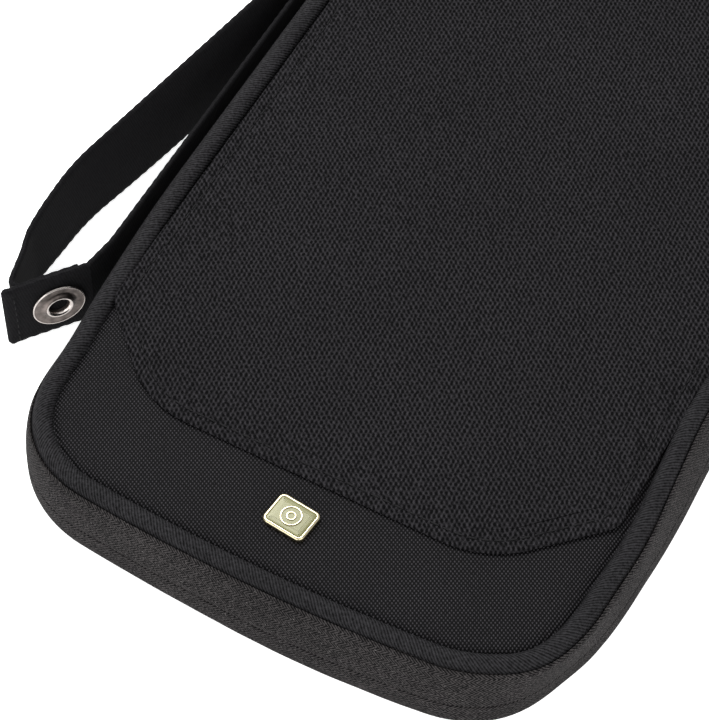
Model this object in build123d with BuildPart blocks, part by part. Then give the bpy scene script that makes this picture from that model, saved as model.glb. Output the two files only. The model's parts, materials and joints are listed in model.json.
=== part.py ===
"""Zip-around travel document wallet with a wrist strap, lying on its back cover.

The frame: +X across the book away from its spine, +Y along it, +Z up through the front cover.
The origin is the middle of the back cover's outer face. All sizes are millimetres.
"""

import os

from build123d import *

os.makedirs("parts", exist_ok=True)

# ------------------------------------------------------------------ driving sizes
# The book, measured round the seam that joins cover and wall
width = 131.0
length = 236.0
corner_radius = 27.0
end_bow = 5.0  # the middle of each end stands this far past the square corners

# Cover layers, from outside to inside, the same for both covers
shell_thickness = 0.8
foam_thickness = 2.0
board_thickness = 0.8
lining_thickness = 0.4

# Piping sewn round both covers
piping_radius = 2.3
piping_cord_radius = 1.6
piping_inset = 1.4
layer_gap = 0.2
layer_inset = piping_inset + piping_radius + layer_gap  # the layers stop against the piping
foam_step = 1.0  # foam and board stop short of the shell, so that it can turn over them
back_piping_height = 2.5
front_piping_height = 20.6
front_shell_top = 21.2

# Wall and zip
wall_stand_off = 1.7  # inner face of the wall, outside the seam
tape_thickness = 0.7
wall_foot_height = 2.2
zip_height = 9.7
zip_gap = 1.0
coil_width = 2.2
coil_thickness = 1.2
flange_thickness = 0.4
flange_reach = 3.6
flange_gap = 0.05
spine_from_end = 34.0  # from each end of the book to the spine, where the zip stops
stop_length = 3.0
stop_thickness = 0.5
spine_fabric = 0.6
spine_board_thickness = 0.8
spine_edge_gap = 0.3
spine_panel_gap = 0.2
spine_lining_gap = 0.7
spine_board_gap = 1.2

# Raised mesh panel on the front
mesh_end_inset = 27.0
mesh_chamfer = 20.0
mesh_corner_radius = 25.0
mesh_side_gap = 0.4
mesh_thickness = 0.8
hem_thickness = 0.4
hem_width = 7.0

# Badge
badge_width = 10.0
badge_height = 8.0
badge_corner = 1.6
badge_rim = 0.7
badge_thickness = 1.4
badge_inlay_depth = 0.3
badge_turn = -6.0
badge_from_end = 17.2
badge_off_centre = 0.7
badge_washer_thickness = 0.4
badge_washer_gap = 0.2

# Pockets
pocket_fabric = 0.5
pocket_gap = 0.5
pocket_seam = 3.0
binding_width = 4.0
binding_thickness = 0.5
passport_pocket_width = 100.0
card_pocket_width = 92.0
card_pocket_depth = 46.0
card_step = 12.0
card_layer = 0.6
card_count = 4
ticket_pocket_width = 108.0
coin_pocket_width = 92.0
pocket_end_gap = 14.0
pocket_row_gap = 18.0
card_cloth = 0.45
card_from_end = 32.0
passport_from_end = 12.0
coin_pocket_from_end = 20.0
coin_pocket_lap = 1.0

# Zip sliders of the main zip
slider_length = 11.0
slider_width = 7.8
slider_corner = 1.8
slider_plate = 1.1
slider_clearance = 0.3
diamond_width = 0.7
diamond_length = 3.6
diamond_from_end = 0.6
flange_clearance = 0.25
crown_width = 1.6
crown_length = 6.0
crown_bar = 0.9
crown_leg = 1.0
pull_bar_radius = 0.5
pull_thickness = 1.0
pull_width = 4.6
pull_tab_length = 15.0
pull_eye_clearance = 0.3
pull_eye_end_gap = 1.2
grip_start = 7.5
grip_length = 20.0
grip_width = 7.0
grip_thickness = 2.4
grip_corner = 2.4
grip_edge_radius = 0.8
slider_meeting_y = 20.0
slider_spacing = 12.5

# Slider of the coin pocket
coin_coil_width = 4.0
coin_coil_thickness = 0.9
coin_tape_width = 14.0
coin_tape_thickness = 0.4
coin_slider_length = 8.0
coin_slider_plate = 1.0
coin_flange = 0.85
coin_flange_clearance = 0.35
coin_crown_width = 1.4
coin_crown_length = 5.0
coin_pull_length = 7.0
coin_pull_width = 3.4
coin_slider_start = -30.0
coin_zip_end_gap = 2.0
coin_slider_corner = 1.2

# Wrist strap: webbing that stands on its edge beside the spine
webbing_width = 20.0
webbing_thickness = 1.4
anchor_length = 15.0
anchor_gap = 1.4
inner_run_gap = 1.7  # between the wall and the inner run
outer_run_gap = 20.6  # between the wall and the outer run, where the loop is widest
tab_hinge_from_end = 54.1
tab_lead_in = 7.0
tab_length = 19.3
tab_turn = 38.2  # degrees between the tab and the spine
hinge_relief = 0.6
lap_gap = 1.2
fold_radius = 1.6
fold_from_hinge = 18.6
tail_from_hinge = 1.5
anchor_below_spine_end = 2.0
anchor_run_gap = 0.2
inner_run_lean = 0.3
inner_bend_radius = 20.0
hinge_stand_off = 1.1  # from the inner run to the tab's hinge
outer_first_bend_out = 5.6
outer_first_bend_share = 0.34  # of the way down the run
outer_widest_lead = 22.0
outer_widest_end = 2.0
outer_bend_radii = (120.0, 60.0, 16.0)

# Press stud on the strap
snap_from_hinge = 8.2
snap_radius = 6.2
snap_hole_radius = 2.7
snap_barrel_wall = 0.25
snap_clearance = 0.1
snap_flange = 0.8
snap_collar_radius = 3.7
snap_collar_height = 0.5
socket_radius = 5.2
socket_hole_radius = 2.1
socket_thickness = 0.5
stud_flange_radius = 4.6
stud_flange_thickness = 0.4
stud_radius = 1.7
stud_length = 1.2
post_radius = 1.2
cap_thickness = 1.0
snap_edge_radius = 0.35
snap_taper = 20.0  # degrees

# ------------------------------------------------------------------ worked-out places
seam_x = width / 2
end_y = length / 2
spine_half = end_y - spine_from_end
wall_out = wall_stand_off + tape_thickness
wall_x = seam_x + wall_out
zip_low = zip_height - zip_gap / 2
zip_high = zip_height + zip_gap / 2
cover_stack = shell_thickness + foam_thickness + board_thickness + lining_thickness
front_lining_under = front_shell_top - cover_stack
back_flange_level = back_piping_height + piping_radius + flange_gap
front_flange_level = front_piping_height - piping_radius - flange_thickness - 2 * flange_gap
badge_centre = (badge_off_centre, -end_y + badge_from_end)


def make_outline():
    """The seam line round a cover: straight sides, bowed ends and round corners."""
    shoulder = end_y - end_bow
    with BuildSketch() as sketch:
        with BuildLine():
            right = Line((seam_x, -shoulder), (seam_x, shoulder))
            top = ThreePointArc(right @ 1, (0, end_y), (-seam_x, shoulder))
            left = Line(top @ 1, (-seam_x, -shoulder))
            ThreePointArc(left @ 1, (0, -end_y), right @ 0)
        make_face()
        fillet(sketch.vertices(), corner_radius)
    return sketch.sketch


outline = make_outline()
straight_half = max(v.Y for v in outline.vertices() if abs(v.X - seam_x) < 0.01)


def cover_sheet(level, grow):
    """A whole cover's outline at a height, grown outwards by grow."""
    with BuildSketch(Plane.XY.offset(level)) as sketch:
        offset(outline, amount=grow, mode=Mode.ADD)
    return sketch.sketch


def wall_ring(level, inner, outer, open_at_spine=True):
    """A ring that follows the outline, left open along the spine where the zip isn't."""
    with BuildSketch(Plane.XY.offset(level)) as sketch:
        offset(outline, amount=outer, mode=Mode.ADD)
        offset(outline, amount=inner, mode=Mode.SUBTRACT)
        if open_at_spine:
            with Locations((-seam_x, 0)):
                Rectangle(4 * flange_reach, 2 * spine_half, mode=Mode.SUBTRACT)
    return sketch.sketch


def save(name, part):
    """Labels a finished piece with its node's name and writes it."""
    part.label = name
    export_step(part, f"parts/{name}.step")


# ------------------------------------------------------------------ cover layers
def make_cover_layers(side, outer_level, inwards):
    """Shell, foam, board and lining of one cover, stacked from its outer face inwards."""
    layers = (
        ("shell", shell_thickness, layer_inset),
        ("foam", foam_thickness, layer_inset + foam_step),
        ("board", board_thickness, layer_inset + foam_step),
        ("lining", lining_thickness, layer_inset),
    )
    level = outer_level
    for layer, thickness, inset in layers:
        low = level if inwards > 0 else level - thickness
        with BuildPart() as sheet:
            extrude(cover_sheet(low, -inset), amount=thickness)
            if layer == "foam" and side == "front":
                washer_place = Plane.XY.offset(level - badge_washer_thickness)
                with BuildSketch(washer_place):
                    with Locations(Location(badge_centre, badge_turn)):
                        RectangleRounded(badge_width, badge_height, badge_corner)
                extrude(amount=badge_washer_thickness, mode=Mode.SUBTRACT)
        save(f"{side}_{layer}", sheet.part)
        level += inwards * thickness


make_cover_layers("back", 0.0, 1)
make_cover_layers("front", front_shell_top, -1)


# ------------------------------------------------------------------ piping
def make_piping(side, level):
    """A cord wrapped in bias tape, sewn all round the edge of a cover."""
    path = cover_sheet(level, -piping_inset).face().outer_wire()
    start = Plane(path @ 0, z_dir=path % 0)
    with BuildPart() as cord:
        with BuildSketch(start):
            Circle(piping_cord_radius)
        sweep(path=path)
    with BuildPart() as tape:
        with BuildSketch(start):
            Circle(piping_radius)
        sweep(path=path)
        add(cord.part, mode=Mode.SUBTRACT)
    save(f"{side}_piping_cord", cord.part)
    save(f"{side}_piping_tape", tape.part)


make_piping("back", back_piping_height)
make_piping("front", front_piping_height)

# ------------------------------------------------------------------ zip wall
with BuildPart() as lower_zip_tape:
    extrude(wall_ring(wall_foot_height, wall_stand_off, wall_out), amount=zip_low - wall_foot_height)
    extrude(wall_ring(back_flange_level, -flange_reach, wall_stand_off), amount=flange_thickness)
save("lower_zip_tape", lower_zip_tape.part)

with BuildPart() as upper_zip_tape:
    wall_top = front_flange_level + flange_thickness
    extrude(wall_ring(zip_high, wall_stand_off, wall_out), amount=wall_top - zip_high)
    extrude(wall_ring(front_flange_level, -flange_reach, wall_stand_off), amount=flange_thickness)
save("upper_zip_tape", upper_zip_tape.part)

coil_in = wall_stand_off - coil_thickness
with BuildPart() as lower_zip_coil:
    extrude(wall_ring(zip_low - coil_width, coil_in, wall_stand_off), amount=coil_width)
save("lower_zip_coil", lower_zip_coil.part)

with BuildPart() as upper_zip_coil:
    extrude(wall_ring(zip_high, coil_in, wall_stand_off), amount=coil_width)
save("upper_zip_coil", upper_zip_coil.part)

# Metal stops clamped over the two ends of the lower coil
with BuildPart() as zip_end_stops:
    stop_level = zip_low - coil_width
    with BuildSketch(Plane.XY.offset(stop_level)):
        stop_x = -(seam_x + coil_in - stop_thickness / 2)
        stop_y = spine_half + stop_length / 2
        with Locations((stop_x, stop_y), (stop_x, -stop_y)):
            Rectangle(stop_thickness, stop_length)
    extrude(amount=coil_width)
save("zip_end_stops", zip_end_stops.part)

# ------------------------------------------------------------------ spine
spine_length = 2 * (spine_half - spine_edge_gap)
spine_seam = front_flange_level + flange_thickness
spine_top = spine_seam - spine_panel_gap


def make_spine_layer(name, outer_x, thickness, low, high):
    """One upright layer of the spine, whose outer face is at x = -outer_x."""
    with BuildPart() as layer:
        with BuildSketch(Plane.XY.offset(low)):
            with Locations((-outer_x + thickness / 2, 0)):
                Rectangle(thickness, spine_length)
        extrude(amount=high - low)
    save(name, layer.part)


spine_board_x = wall_x - spine_fabric
spine_lining_x = spine_board_x - spine_board_thickness
spine_inside_low = back_flange_level + flange_thickness
make_spine_layer("spine_panel", wall_x, spine_fabric, wall_foot_height, spine_top)
make_spine_layer("spine_board", spine_board_x, spine_board_thickness, spine_inside_low, spine_seam - spine_board_gap)
make_spine_layer(
    "spine_lining", spine_lining_x, lining_thickness, spine_inside_low, spine_seam - spine_lining_gap
)

# ------------------------------------------------------------------ mesh panel
def mesh_shape(level, shrink=0.0):
    """The raised panel's outline: the cover's sides, with straight ends and cut corners."""
    inset = layer_inset + mesh_side_gap + shrink
    half_long = end_y - mesh_end_inset
    half_wide = seam_x - layer_inset - mesh_side_gap
    with BuildSketch(Plane.XY.offset(level)) as sketch:
        Rectangle(2 * half_wide, 2 * half_long)
        chamfer(sketch.vertices(), mesh_chamfer)
        ends = [v for v in sketch.vertices() if abs(abs(v.Y) - half_long) < 0.01]
        fillet(ends, mesh_corner_radius)
        if shrink:
            offset(amount=-shrink)
        offset(outline, amount=-inset, mode=Mode.INTERSECT)
    return sketch.sketch


with BuildPart() as mesh_panel_hem:
    extrude(mesh_shape(front_shell_top), amount=hem_thickness)
    extrude(mesh_shape(front_shell_top, hem_width), amount=hem_thickness, mode=Mode.SUBTRACT)
save("mesh_panel_hem", mesh_panel_hem.part)

with BuildPart() as mesh_panel_pad:
    extrude(mesh_shape(front_shell_top, hem_width), amount=hem_thickness)
save("mesh_panel_pad", mesh_panel_pad.part)

with BuildPart() as mesh_panel:
    extrude(mesh_shape(front_shell_top + hem_thickness), amount=mesh_thickness)
save("mesh_panel", mesh_panel.part)

# ------------------------------------------------------------------ badge
badge_plane = Plane((*badge_centre, front_shell_top)).rotated((0, 0, badge_turn))
inlay_size = (badge_width - 2 * badge_rim, badge_height - 2 * badge_rim)

with BuildPart() as badge_frame:
    with BuildSketch(badge_plane):
        RectangleRounded(badge_width, badge_height, badge_corner)
    extrude(amount=badge_thickness)
    fillet(badge_frame.edges().group_by(Axis.Z)[-1], badge_rim / 2)
    with BuildSketch(badge_plane.offset(badge_thickness)):
        RectangleRounded(*inlay_size, badge_corner - badge_rim)
    extrude(amount=-2 * badge_inlay_depth, mode=Mode.SUBTRACT)
save("badge_frame", badge_frame.part)

with BuildPart() as badge_inlay:
    with BuildSketch(badge_plane.offset(badge_thickness - 2 * badge_inlay_depth)):
        RectangleRounded(*inlay_size, badge_corner - badge_rim)
    extrude(amount=badge_inlay_depth)
save("badge_inlay", badge_inlay.part)

washer_level = front_shell_top - shell_thickness - badge_washer_thickness
with BuildPart() as badge_washer:
    with BuildSketch(Plane.XY.offset(washer_level)):
        with Locations(Location(badge_centre, badge_turn)):
            RectangleRounded(
                badge_width - 2 * badge_washer_gap, badge_height - 2 * badge_washer_gap, badge_corner
            )
    extrude(amount=badge_washer_thickness)
save("badge_washer", badge_washer.part)

# ------------------------------------------------------------------ pockets
back_inside = cover_stack
card_top = end_y - card_from_end
card_bottom = card_top - card_pocket_depth - (card_count - 1) * card_step
passport_top = card_bottom - pocket_row_gap
passport_bottom = -end_y + passport_from_end
coin_zip_y = (card_bottom + passport_top) / 2
ticket_bottom = -end_y + pocket_end_gap
ticket_top = card_bottom + card_pocket_depth + card_step
coin_pocket_bottom = -end_y + coin_pocket_from_end
coin_pocket_top = coin_zip_y + coin_tape_width / 2 + coin_pocket_lap


def make_pocket(name, wide, bottom, top, base, towards, gap=pocket_gap, cloth=pocket_fabric):
    """A flat pocket, open at its upper edge: a cloth panel on a narrow seam on three sides."""
    panel = Plane.XY.offset(base + towards * gap if towards > 0 else base - gap - cloth)
    seam = Plane.XY.offset(base if towards > 0 else base - gap)
    middle = (bottom + top) / 2
    with BuildPart() as pocket:
        with BuildSketch(panel):
            with Locations((0, middle)):
                Rectangle(wide, top - bottom)
        extrude(amount=cloth)
        with BuildSketch(seam):
            with Locations((0, middle)):
                Rectangle(wide, top - bottom)
            with Locations((0, middle + pocket_seam)):
                Rectangle(wide - 2 * pocket_seam, top - bottom, mode=Mode.SUBTRACT)
        extrude(amount=gap)
    save(name, pocket.part)


def make_bindings(name, wide, places):
    """Folded ribbon along pocket edges: one strip for each (edge y, lower level)."""
    with BuildPart() as bindings:
        for edge_y, level in places:
            with BuildSketch(Plane.XY.offset(level)):
                with Locations((0, edge_y - binding_width / 2)):
                    Rectangle(wide, binding_width)
            extrude(amount=binding_thickness)
    save(name, bindings.part)


make_pocket("passport_pocket", passport_pocket_width, passport_bottom, passport_top, back_inside, 1)
passport_face = back_inside + pocket_gap + pocket_fabric
make_bindings("passport_pocket_binding", passport_pocket_width, [(passport_top, passport_face)])

card_bindings = []
for tier in range(card_count):
    tier_base = back_inside + tier * card_layer
    tier_top = card_top - tier * card_step
    make_pocket(
        f"card_pocket_{tier + 1}", card_pocket_width, card_bottom, tier_top, tier_base, 1,
        gap=card_layer - card_cloth, cloth=card_cloth,
    )
    card_bindings.append((tier_top, tier_base + card_layer))
make_bindings("card_pocket_bindings", card_pocket_width, card_bindings)

make_pocket("ticket_pocket", ticket_pocket_width, ticket_bottom, ticket_top, front_lining_under, -1)
ticket_face = front_lining_under - pocket_gap - pocket_fabric
make_bindings("ticket_pocket_binding", ticket_pocket_width, [(ticket_top, ticket_face - binding_thickness)])

make_pocket("coin_pocket", coin_pocket_width, coin_pocket_bottom, coin_pocket_top, ticket_face, -1)
coin_face = ticket_face - pocket_gap - pocket_fabric

# ------------------------------------------------------------------ coin pocket zip
coin_zip_length = coin_pocket_width - 2 * coin_zip_end_gap
coin_coil_level = coin_face - coin_tape_thickness - coin_coil_thickness

with BuildPart() as coin_zip_tape:
    with BuildSketch(Plane.XY.offset(coin_face - coin_tape_thickness)):
        with Locations((0, coin_zip_y)):
            Rectangle(coin_zip_length, coin_tape_width)
    extrude(amount=coin_tape_thickness)
save("coin_zip_tape", coin_zip_tape.part)

with BuildPart() as coin_zip_coil:
    with BuildSketch(Plane.XY.offset(coin_coil_level)):
        with Locations((0, coin_zip_y)):
            Rectangle(coin_zip_length - 2 * coin_zip_end_gap, coin_coil_width)
    extrude(amount=coin_coil_thickness)
save("coin_zip_coil", coin_zip_coil.part)


def crown_profile(length_along, height, clear):
    """Side view of the arch that holds a pull: legs, a top bar and the gap under it."""
    with BuildSketch() as sketch:
        with Locations((0, height / 2)):
            RectangleRounded(length_along, height, crown_bar / 2)
            Rectangle(length_along, height / 2)
        with Locations((0, clear / 2)):
            Rectangle(length_along - 2 * crown_leg, clear, mode=Mode.SUBTRACT)
    return sketch.sketch


crown_gap = 2 * pull_bar_radius + 2 * flange_clearance
crown_height = crown_gap + crown_bar
hinge_height = flange_clearance + pull_bar_radius


def side_view(plane, level):
    """The plane seen from the side: its x runs along the zip, its y away from the tape."""
    return Plane(plane.offset(level).origin, x_dir=plane.x_dir, z_dir=-plane.y_dir)


def add_crown_sketch(plane, level, length_along):
    """The crown's side profile, standing on the plate whose face is at this level."""
    return side_view(plane, level) * crown_profile(length_along, crown_height, crown_gap)


coin_plane = Plane(
    (coin_slider_start, coin_zip_y, coin_coil_level - slider_clearance),
    x_dir=(1, 0, 0), z_dir=(0, 0, -1),
)
coin_half_width = coin_coil_width / 2 + coin_flange_clearance + coin_flange

with BuildPart() as coin_slider:
    with BuildSketch(coin_plane):
        RectangleRounded(coin_slider_length, 2 * coin_half_width, coin_slider_corner)
    extrude(amount=coin_slider_plate)
    with BuildSketch(coin_plane):
        rail = coin_half_width - coin_flange / 2
        with Locations((0, rail), (0, -rail)):
            Rectangle(coin_slider_length - 2 * coin_slider_corner, coin_flange)
    extrude(amount=-coin_coil_thickness)
    crown = add_crown_sketch(coin_plane, coin_slider_plate, coin_crown_length)
    extrude(crown, amount=coin_crown_width / 2, both=True)
save("coin_slider", coin_slider.part)


def pull_parts(plane, plate_level, crown_size, tab_size, bar_radius, thick):
    """A pull: a cross bar under the crown, two legs beside it and a flat tab."""
    crown_long, crown_wide = crown_size
    tab_long, tab_wide = tab_size
    hinge = plate_level + hinge_height
    eye_wide = crown_wide + 2 * pull_eye_clearance
    eye_end = crown_long / 2 + pull_eye_end_gap
    with BuildPart() as pull:
        with BuildSketch(plane.offset(hinge - thick / 2)):
            with Locations((tab_long / 2, 0)):
                Rectangle(tab_long, tab_wide)
            with Locations((eye_end / 2, 0)):
                Rectangle(eye_end, eye_wide, mode=Mode.SUBTRACT)
        extrude(amount=thick)
        with BuildSketch(side_view(plane, hinge)):
            Circle(bar_radius)
        extrude(amount=tab_wide / 2, both=True)
    return pull.part


coin_pull = pull_parts(
    coin_plane, coin_slider_plate, (coin_crown_length, coin_crown_width),
    (coin_pull_length, coin_pull_width), pull_bar_radius, pull_thickness,
)
save("coin_pull", coin_pull)

# ------------------------------------------------------------------ main zip sliders
chain_half = zip_gap / 2 + coil_width
back_plate_level = -(tape_thickness + coil_thickness + slider_clearance)
rail_inner = chain_half + flange_clearance


def make_slider(name, plane):
    """A slider: outer and inner plates, the diamond between them, rails, crown and pull.

    The plane's origin is on the tape's outer face, its x points along the zip towards the pull,
    and its z points out of the wall.
    """
    with BuildPart() as slider:
        with BuildSketch(plane.offset(slider_clearance)):
            RectangleRounded(slider_length, slider_width, slider_corner)
        extrude(amount=slider_plate)
        with BuildSketch(plane.offset(back_plate_level)):
            RectangleRounded(slider_length, slider_width, slider_corner)
        extrude(amount=-slider_plate)
        with BuildSketch(plane.offset(back_plate_level)):
            rail_wide = slider_width / 2 - rail_inner
            rail_y = rail_inner + rail_wide / 2
            with Locations((0, rail_y), (0, -rail_y)):
                Rectangle(slider_length - 2 * slider_corner, rail_wide)
        extrude(amount=coil_thickness)
        with BuildSketch(plane.offset(back_plate_level)):
            with Locations((-(slider_length - diamond_length) / 2 + diamond_from_end, 0)):
                Rectangle(diamond_length, diamond_width)
        extrude(amount=slider_clearance - back_plate_level)
        crown = add_crown_sketch(plane, slider_clearance + slider_plate, crown_length)
        extrude(crown, amount=crown_width / 2, both=True)
    save(f"{name}_slider", slider.part)

    plate_level = slider_clearance + slider_plate
    tab = pull_parts(
        plane, plate_level, (crown_length, crown_width),
        (pull_tab_length, pull_width), pull_bar_radius, pull_thickness,
    )
    save(f"{name}_pull_tab", tab)

    grip_level = plate_level + hinge_height - grip_thickness / 2
    with BuildPart() as grip:
        with BuildSketch(plane.offset(grip_level)):
            with Locations((grip_start + grip_length / 2, 0)):
                RectangleRounded(grip_length, grip_width, grip_corner)
        extrude(amount=grip_thickness)
        fillet(grip.faces().filter_by(Axis(plane.origin, plane.z_dir)).edges(), grip_edge_radius)
        add(tab, mode=Mode.SUBTRACT)
    save(f"{name}_pull_grip", grip.part)


slider_x = wall_x
lower_slider_y = slider_meeting_y - slider_spacing / 2
upper_slider_y = slider_meeting_y + slider_spacing / 2
make_slider("lower", Plane((slider_x, lower_slider_y, zip_height), x_dir=(0, -1, 0), z_dir=(1, 0, 0)))
make_slider("upper", Plane((slider_x, upper_slider_y, zip_height), x_dir=(0, 1, 0), z_dir=(1, 0, 0)))

# ------------------------------------------------------------------ wrist strap
half_web = webbing_thickness / 2
anchor_top = spine_half - anchor_below_spine_end
anchor_bottom = anchor_top - anchor_length
strap_top = anchor_bottom - anchor_gap
inner_run_x = -(wall_x + inner_run_gap + half_web)
outer_start_x = inner_run_x - webbing_thickness - anchor_run_gap
outer_run_x = -(wall_x + outer_run_gap + half_web)
tab_hinge = Vector(inner_run_x - hinge_stand_off, -end_y + tab_hinge_from_end)
along_tab = Vector(0, -1).rotate(Axis.Z, -tab_turn)
behind_tab = Vector(-1, 0).rotate(Axis.Z, -tab_turn)
lap_offset = webbing_thickness + lap_gap
tail_end = tab_hinge + along_tab * tail_from_hinge + behind_tab * lap_offset
fold_point = tab_hinge + along_tab * fold_from_hinge + behind_tab * lap_offset
run_length = strap_top - tab_hinge.Y


def webbing(points, radii):
    """Plan view of a strip of webbing that stands on its edge, along a filleted route."""
    with BuildSketch() as sketch:
        with BuildLine() as route:
            if radii:
                FilletPolyline(*points, radius=radii)
            else:
                Line(*points)
        trace(route.edges(), line_width=webbing_thickness)
    return sketch.sketch


with BuildPart() as strap_anchor:
    with BuildSketch():
        with BuildLine():
            Polyline(
                (-wall_x, anchor_bottom), (-wall_x, anchor_top),
                (-wall_x - webbing_thickness, anchor_top),
                (outer_start_x - half_web, anchor_bottom), close=True,
            )
        make_face()
    extrude(amount=webbing_width)
save("strap_anchor", strap_anchor.part)

with BuildPart() as strap_inner_run:
    inner_points = [
        (inner_run_x + inner_run_lean, strap_top),
        (inner_run_x, tab_hinge.Y + tab_lead_in),
        tuple(tab_hinge - along_tab * hinge_relief)[:2],
    ]
    extrude(webbing(inner_points, [inner_bend_radius]), amount=webbing_width)
save("strap_inner_run", strap_inner_run.part)

snap_plane = Plane(
    tab_hinge + along_tab * snap_from_hinge + Vector(0, 0, webbing_width / 2),
    x_dir=along_tab, z_dir=-behind_tab,
)

with BuildPart() as strap_outer_run:
    outer_points = [
        (outer_start_x, strap_top),
        (outer_start_x - outer_first_bend_out, strap_top - outer_first_bend_share * run_length),
        (outer_run_x, tab_hinge.Y + outer_widest_lead),
        (outer_run_x, tab_hinge.Y + outer_widest_end),
        tuple(fold_point)[:2],
        tuple(tail_end)[:2],
    ]
    extrude(webbing(outer_points, [*outer_bend_radii, fold_radius]), amount=webbing_width)
    with BuildSketch(snap_plane.offset(-lap_offset - half_web)):
        Circle(post_radius + snap_clearance / 2)
    extrude(amount=webbing_thickness, mode=Mode.SUBTRACT)
save("strap_outer_run", strap_outer_run.part)

with BuildPart() as strap_tab:
    tab_ends = [
        tuple(tab_hinge + along_tab * hinge_relief)[:2],
        tuple(tab_hinge + along_tab * tab_length)[:2],
    ]
    extrude(webbing(tab_ends, None), amount=webbing_width)
    with BuildSketch(snap_plane.offset(-half_web)):
        Circle(snap_hole_radius + snap_barrel_wall + snap_clearance)
    extrude(amount=webbing_thickness, mode=Mode.SUBTRACT)
save("strap_tab", strap_tab.part)

# ------------------------------------------------------------------ press stud
with BuildPart() as snap_ring:
    with BuildSketch(snap_plane.offset(half_web)):
        Circle(snap_radius)
    extrude(amount=snap_flange)
    fillet(snap_ring.faces().filter_by(GeomType.CYLINDER).edges().filter_by(GeomType.CIRCLE), snap_edge_radius)
    with BuildSketch(snap_plane.offset(half_web + snap_flange)):
        Circle(snap_collar_radius)
    extrude(amount=snap_collar_height, taper=snap_taper)
    with BuildSketch(snap_plane.offset(-half_web)):
        Circle(snap_hole_radius + snap_barrel_wall)
    extrude(amount=webbing_thickness)
    with BuildSketch(snap_plane.offset(-half_web)):
        Circle(snap_hole_radius)
    extrude(amount=webbing_thickness + snap_flange + snap_collar_height, mode=Mode.SUBTRACT)
save("snap_ring", snap_ring.part)

with BuildPart() as snap_socket:
    with BuildSketch(snap_plane.offset(-half_web)):
        Circle(socket_radius)
        Circle(socket_hole_radius, mode=Mode.SUBTRACT)
    extrude(amount=-socket_thickness)
save("snap_socket", snap_socket.part)

with BuildPart() as snap_stud:
    tail_face = -lap_offset + half_web
    with BuildSketch(snap_plane.offset(tail_face)):
        Circle(stud_flange_radius)
    extrude(amount=stud_flange_thickness)
    with BuildSketch(snap_plane.offset(tail_face + stud_flange_thickness)):
        Circle(stud_radius)
    extrude(amount=stud_length)
    with BuildSketch(snap_plane.offset(tail_face)):
        Circle(post_radius)
    extrude(amount=-webbing_thickness)
save("snap_stud", snap_stud.part)

with BuildPart() as snap_cap:
    with BuildSketch(snap_plane.offset(-lap_offset - half_web)):
        Circle(snap_radius)
    extrude(amount=-cap_thickness, taper=snap_taper)
save("snap_cap", snap_cap.part)
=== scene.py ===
"""Builds the looks of a zip-around travel document wallet round its fixed frame."""

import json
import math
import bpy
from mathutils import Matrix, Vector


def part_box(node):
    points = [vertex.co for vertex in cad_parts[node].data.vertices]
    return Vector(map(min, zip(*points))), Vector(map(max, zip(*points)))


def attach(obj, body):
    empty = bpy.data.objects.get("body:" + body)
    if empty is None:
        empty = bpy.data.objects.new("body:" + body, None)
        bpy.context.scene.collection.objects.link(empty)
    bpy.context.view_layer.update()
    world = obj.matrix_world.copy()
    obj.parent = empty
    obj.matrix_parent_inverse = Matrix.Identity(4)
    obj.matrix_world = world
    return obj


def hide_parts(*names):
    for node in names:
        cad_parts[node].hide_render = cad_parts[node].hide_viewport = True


bl_info = {
    "name": "Travel Document Wallet",
    "version": (1, 0, 0),
    "blender": (4, 5, 0),
    "location": "View3D > Sidebar > Wallet",
    "description": "Cloth, piping, zip, wrist strap, badge and pockets of a travel document wallet",
    "category": "Add Mesh",
}

import bpy
from bpy.props import FloatProperty, FloatVectorProperty, PointerProperty
from mathutils import Matrix, Vector, noise
from mathutils.geometry import delaunay_2d_cdt

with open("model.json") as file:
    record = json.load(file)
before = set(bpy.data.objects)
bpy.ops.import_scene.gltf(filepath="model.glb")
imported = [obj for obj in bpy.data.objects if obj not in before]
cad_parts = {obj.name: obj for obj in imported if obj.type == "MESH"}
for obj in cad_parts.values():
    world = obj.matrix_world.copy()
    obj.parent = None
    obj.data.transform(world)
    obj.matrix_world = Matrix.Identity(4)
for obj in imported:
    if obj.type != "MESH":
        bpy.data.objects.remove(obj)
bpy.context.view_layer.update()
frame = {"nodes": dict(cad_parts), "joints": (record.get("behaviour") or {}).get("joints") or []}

MM = 0.001
TURN = 2 * math.pi
HARD_EDGE = 40  # smoothing angle of metal and rubber, in degrees


def in_mm(pairs):
    """Pairs of millimetres as metres."""
    return [(a * MM, b * MM) for a, b in pairs]


# ------------------------------------------------------------------ sizes and colours
def size(name, text, value):
    return FloatProperty(name=name, description=text, default=value * MM, unit="LENGTH", precision=5)


def colour(name, text, value):
    return FloatVectorProperty(
        name=name, description=text, default=value, subtype="COLOR", size=3, min=0, max=1
    )


class WalletSizes(bpy.types.PropertyGroup):
    corner_radius: size("Corner radius", "Radius of the cover's corners at the seam", 27.0)
    end_bow: size("End bow", "How far the middle of each end stands out", 5.0)
    piping_inset: size("Piping inset", "Middle of the piping, inside the seam", 1.4)
    wall_bulge: size("Wall bulge", "How far the wall stands outside the seam", 2.5)
    panel_crown: size("Panel crown", "Rise of the padded panels towards their middle", 0.35)
    mesh_end_inset: size("Mesh end", "From the wallet's end to the mesh panel", 27.0)
    mesh_chamfer: size("Mesh corner cut", "Length of the mesh panel's cut corners, each way", 20.5)
    hem_stitch: size("Hem stitch", "From the mesh panel's edge to its stitches", 3.0)
    webbing_thickness: size("Webbing", "Thickness of the wrist strap", 1.3)
    tooth_pitch: size("Tooth pitch", "Distance between zip teeth", 1.6)


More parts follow.
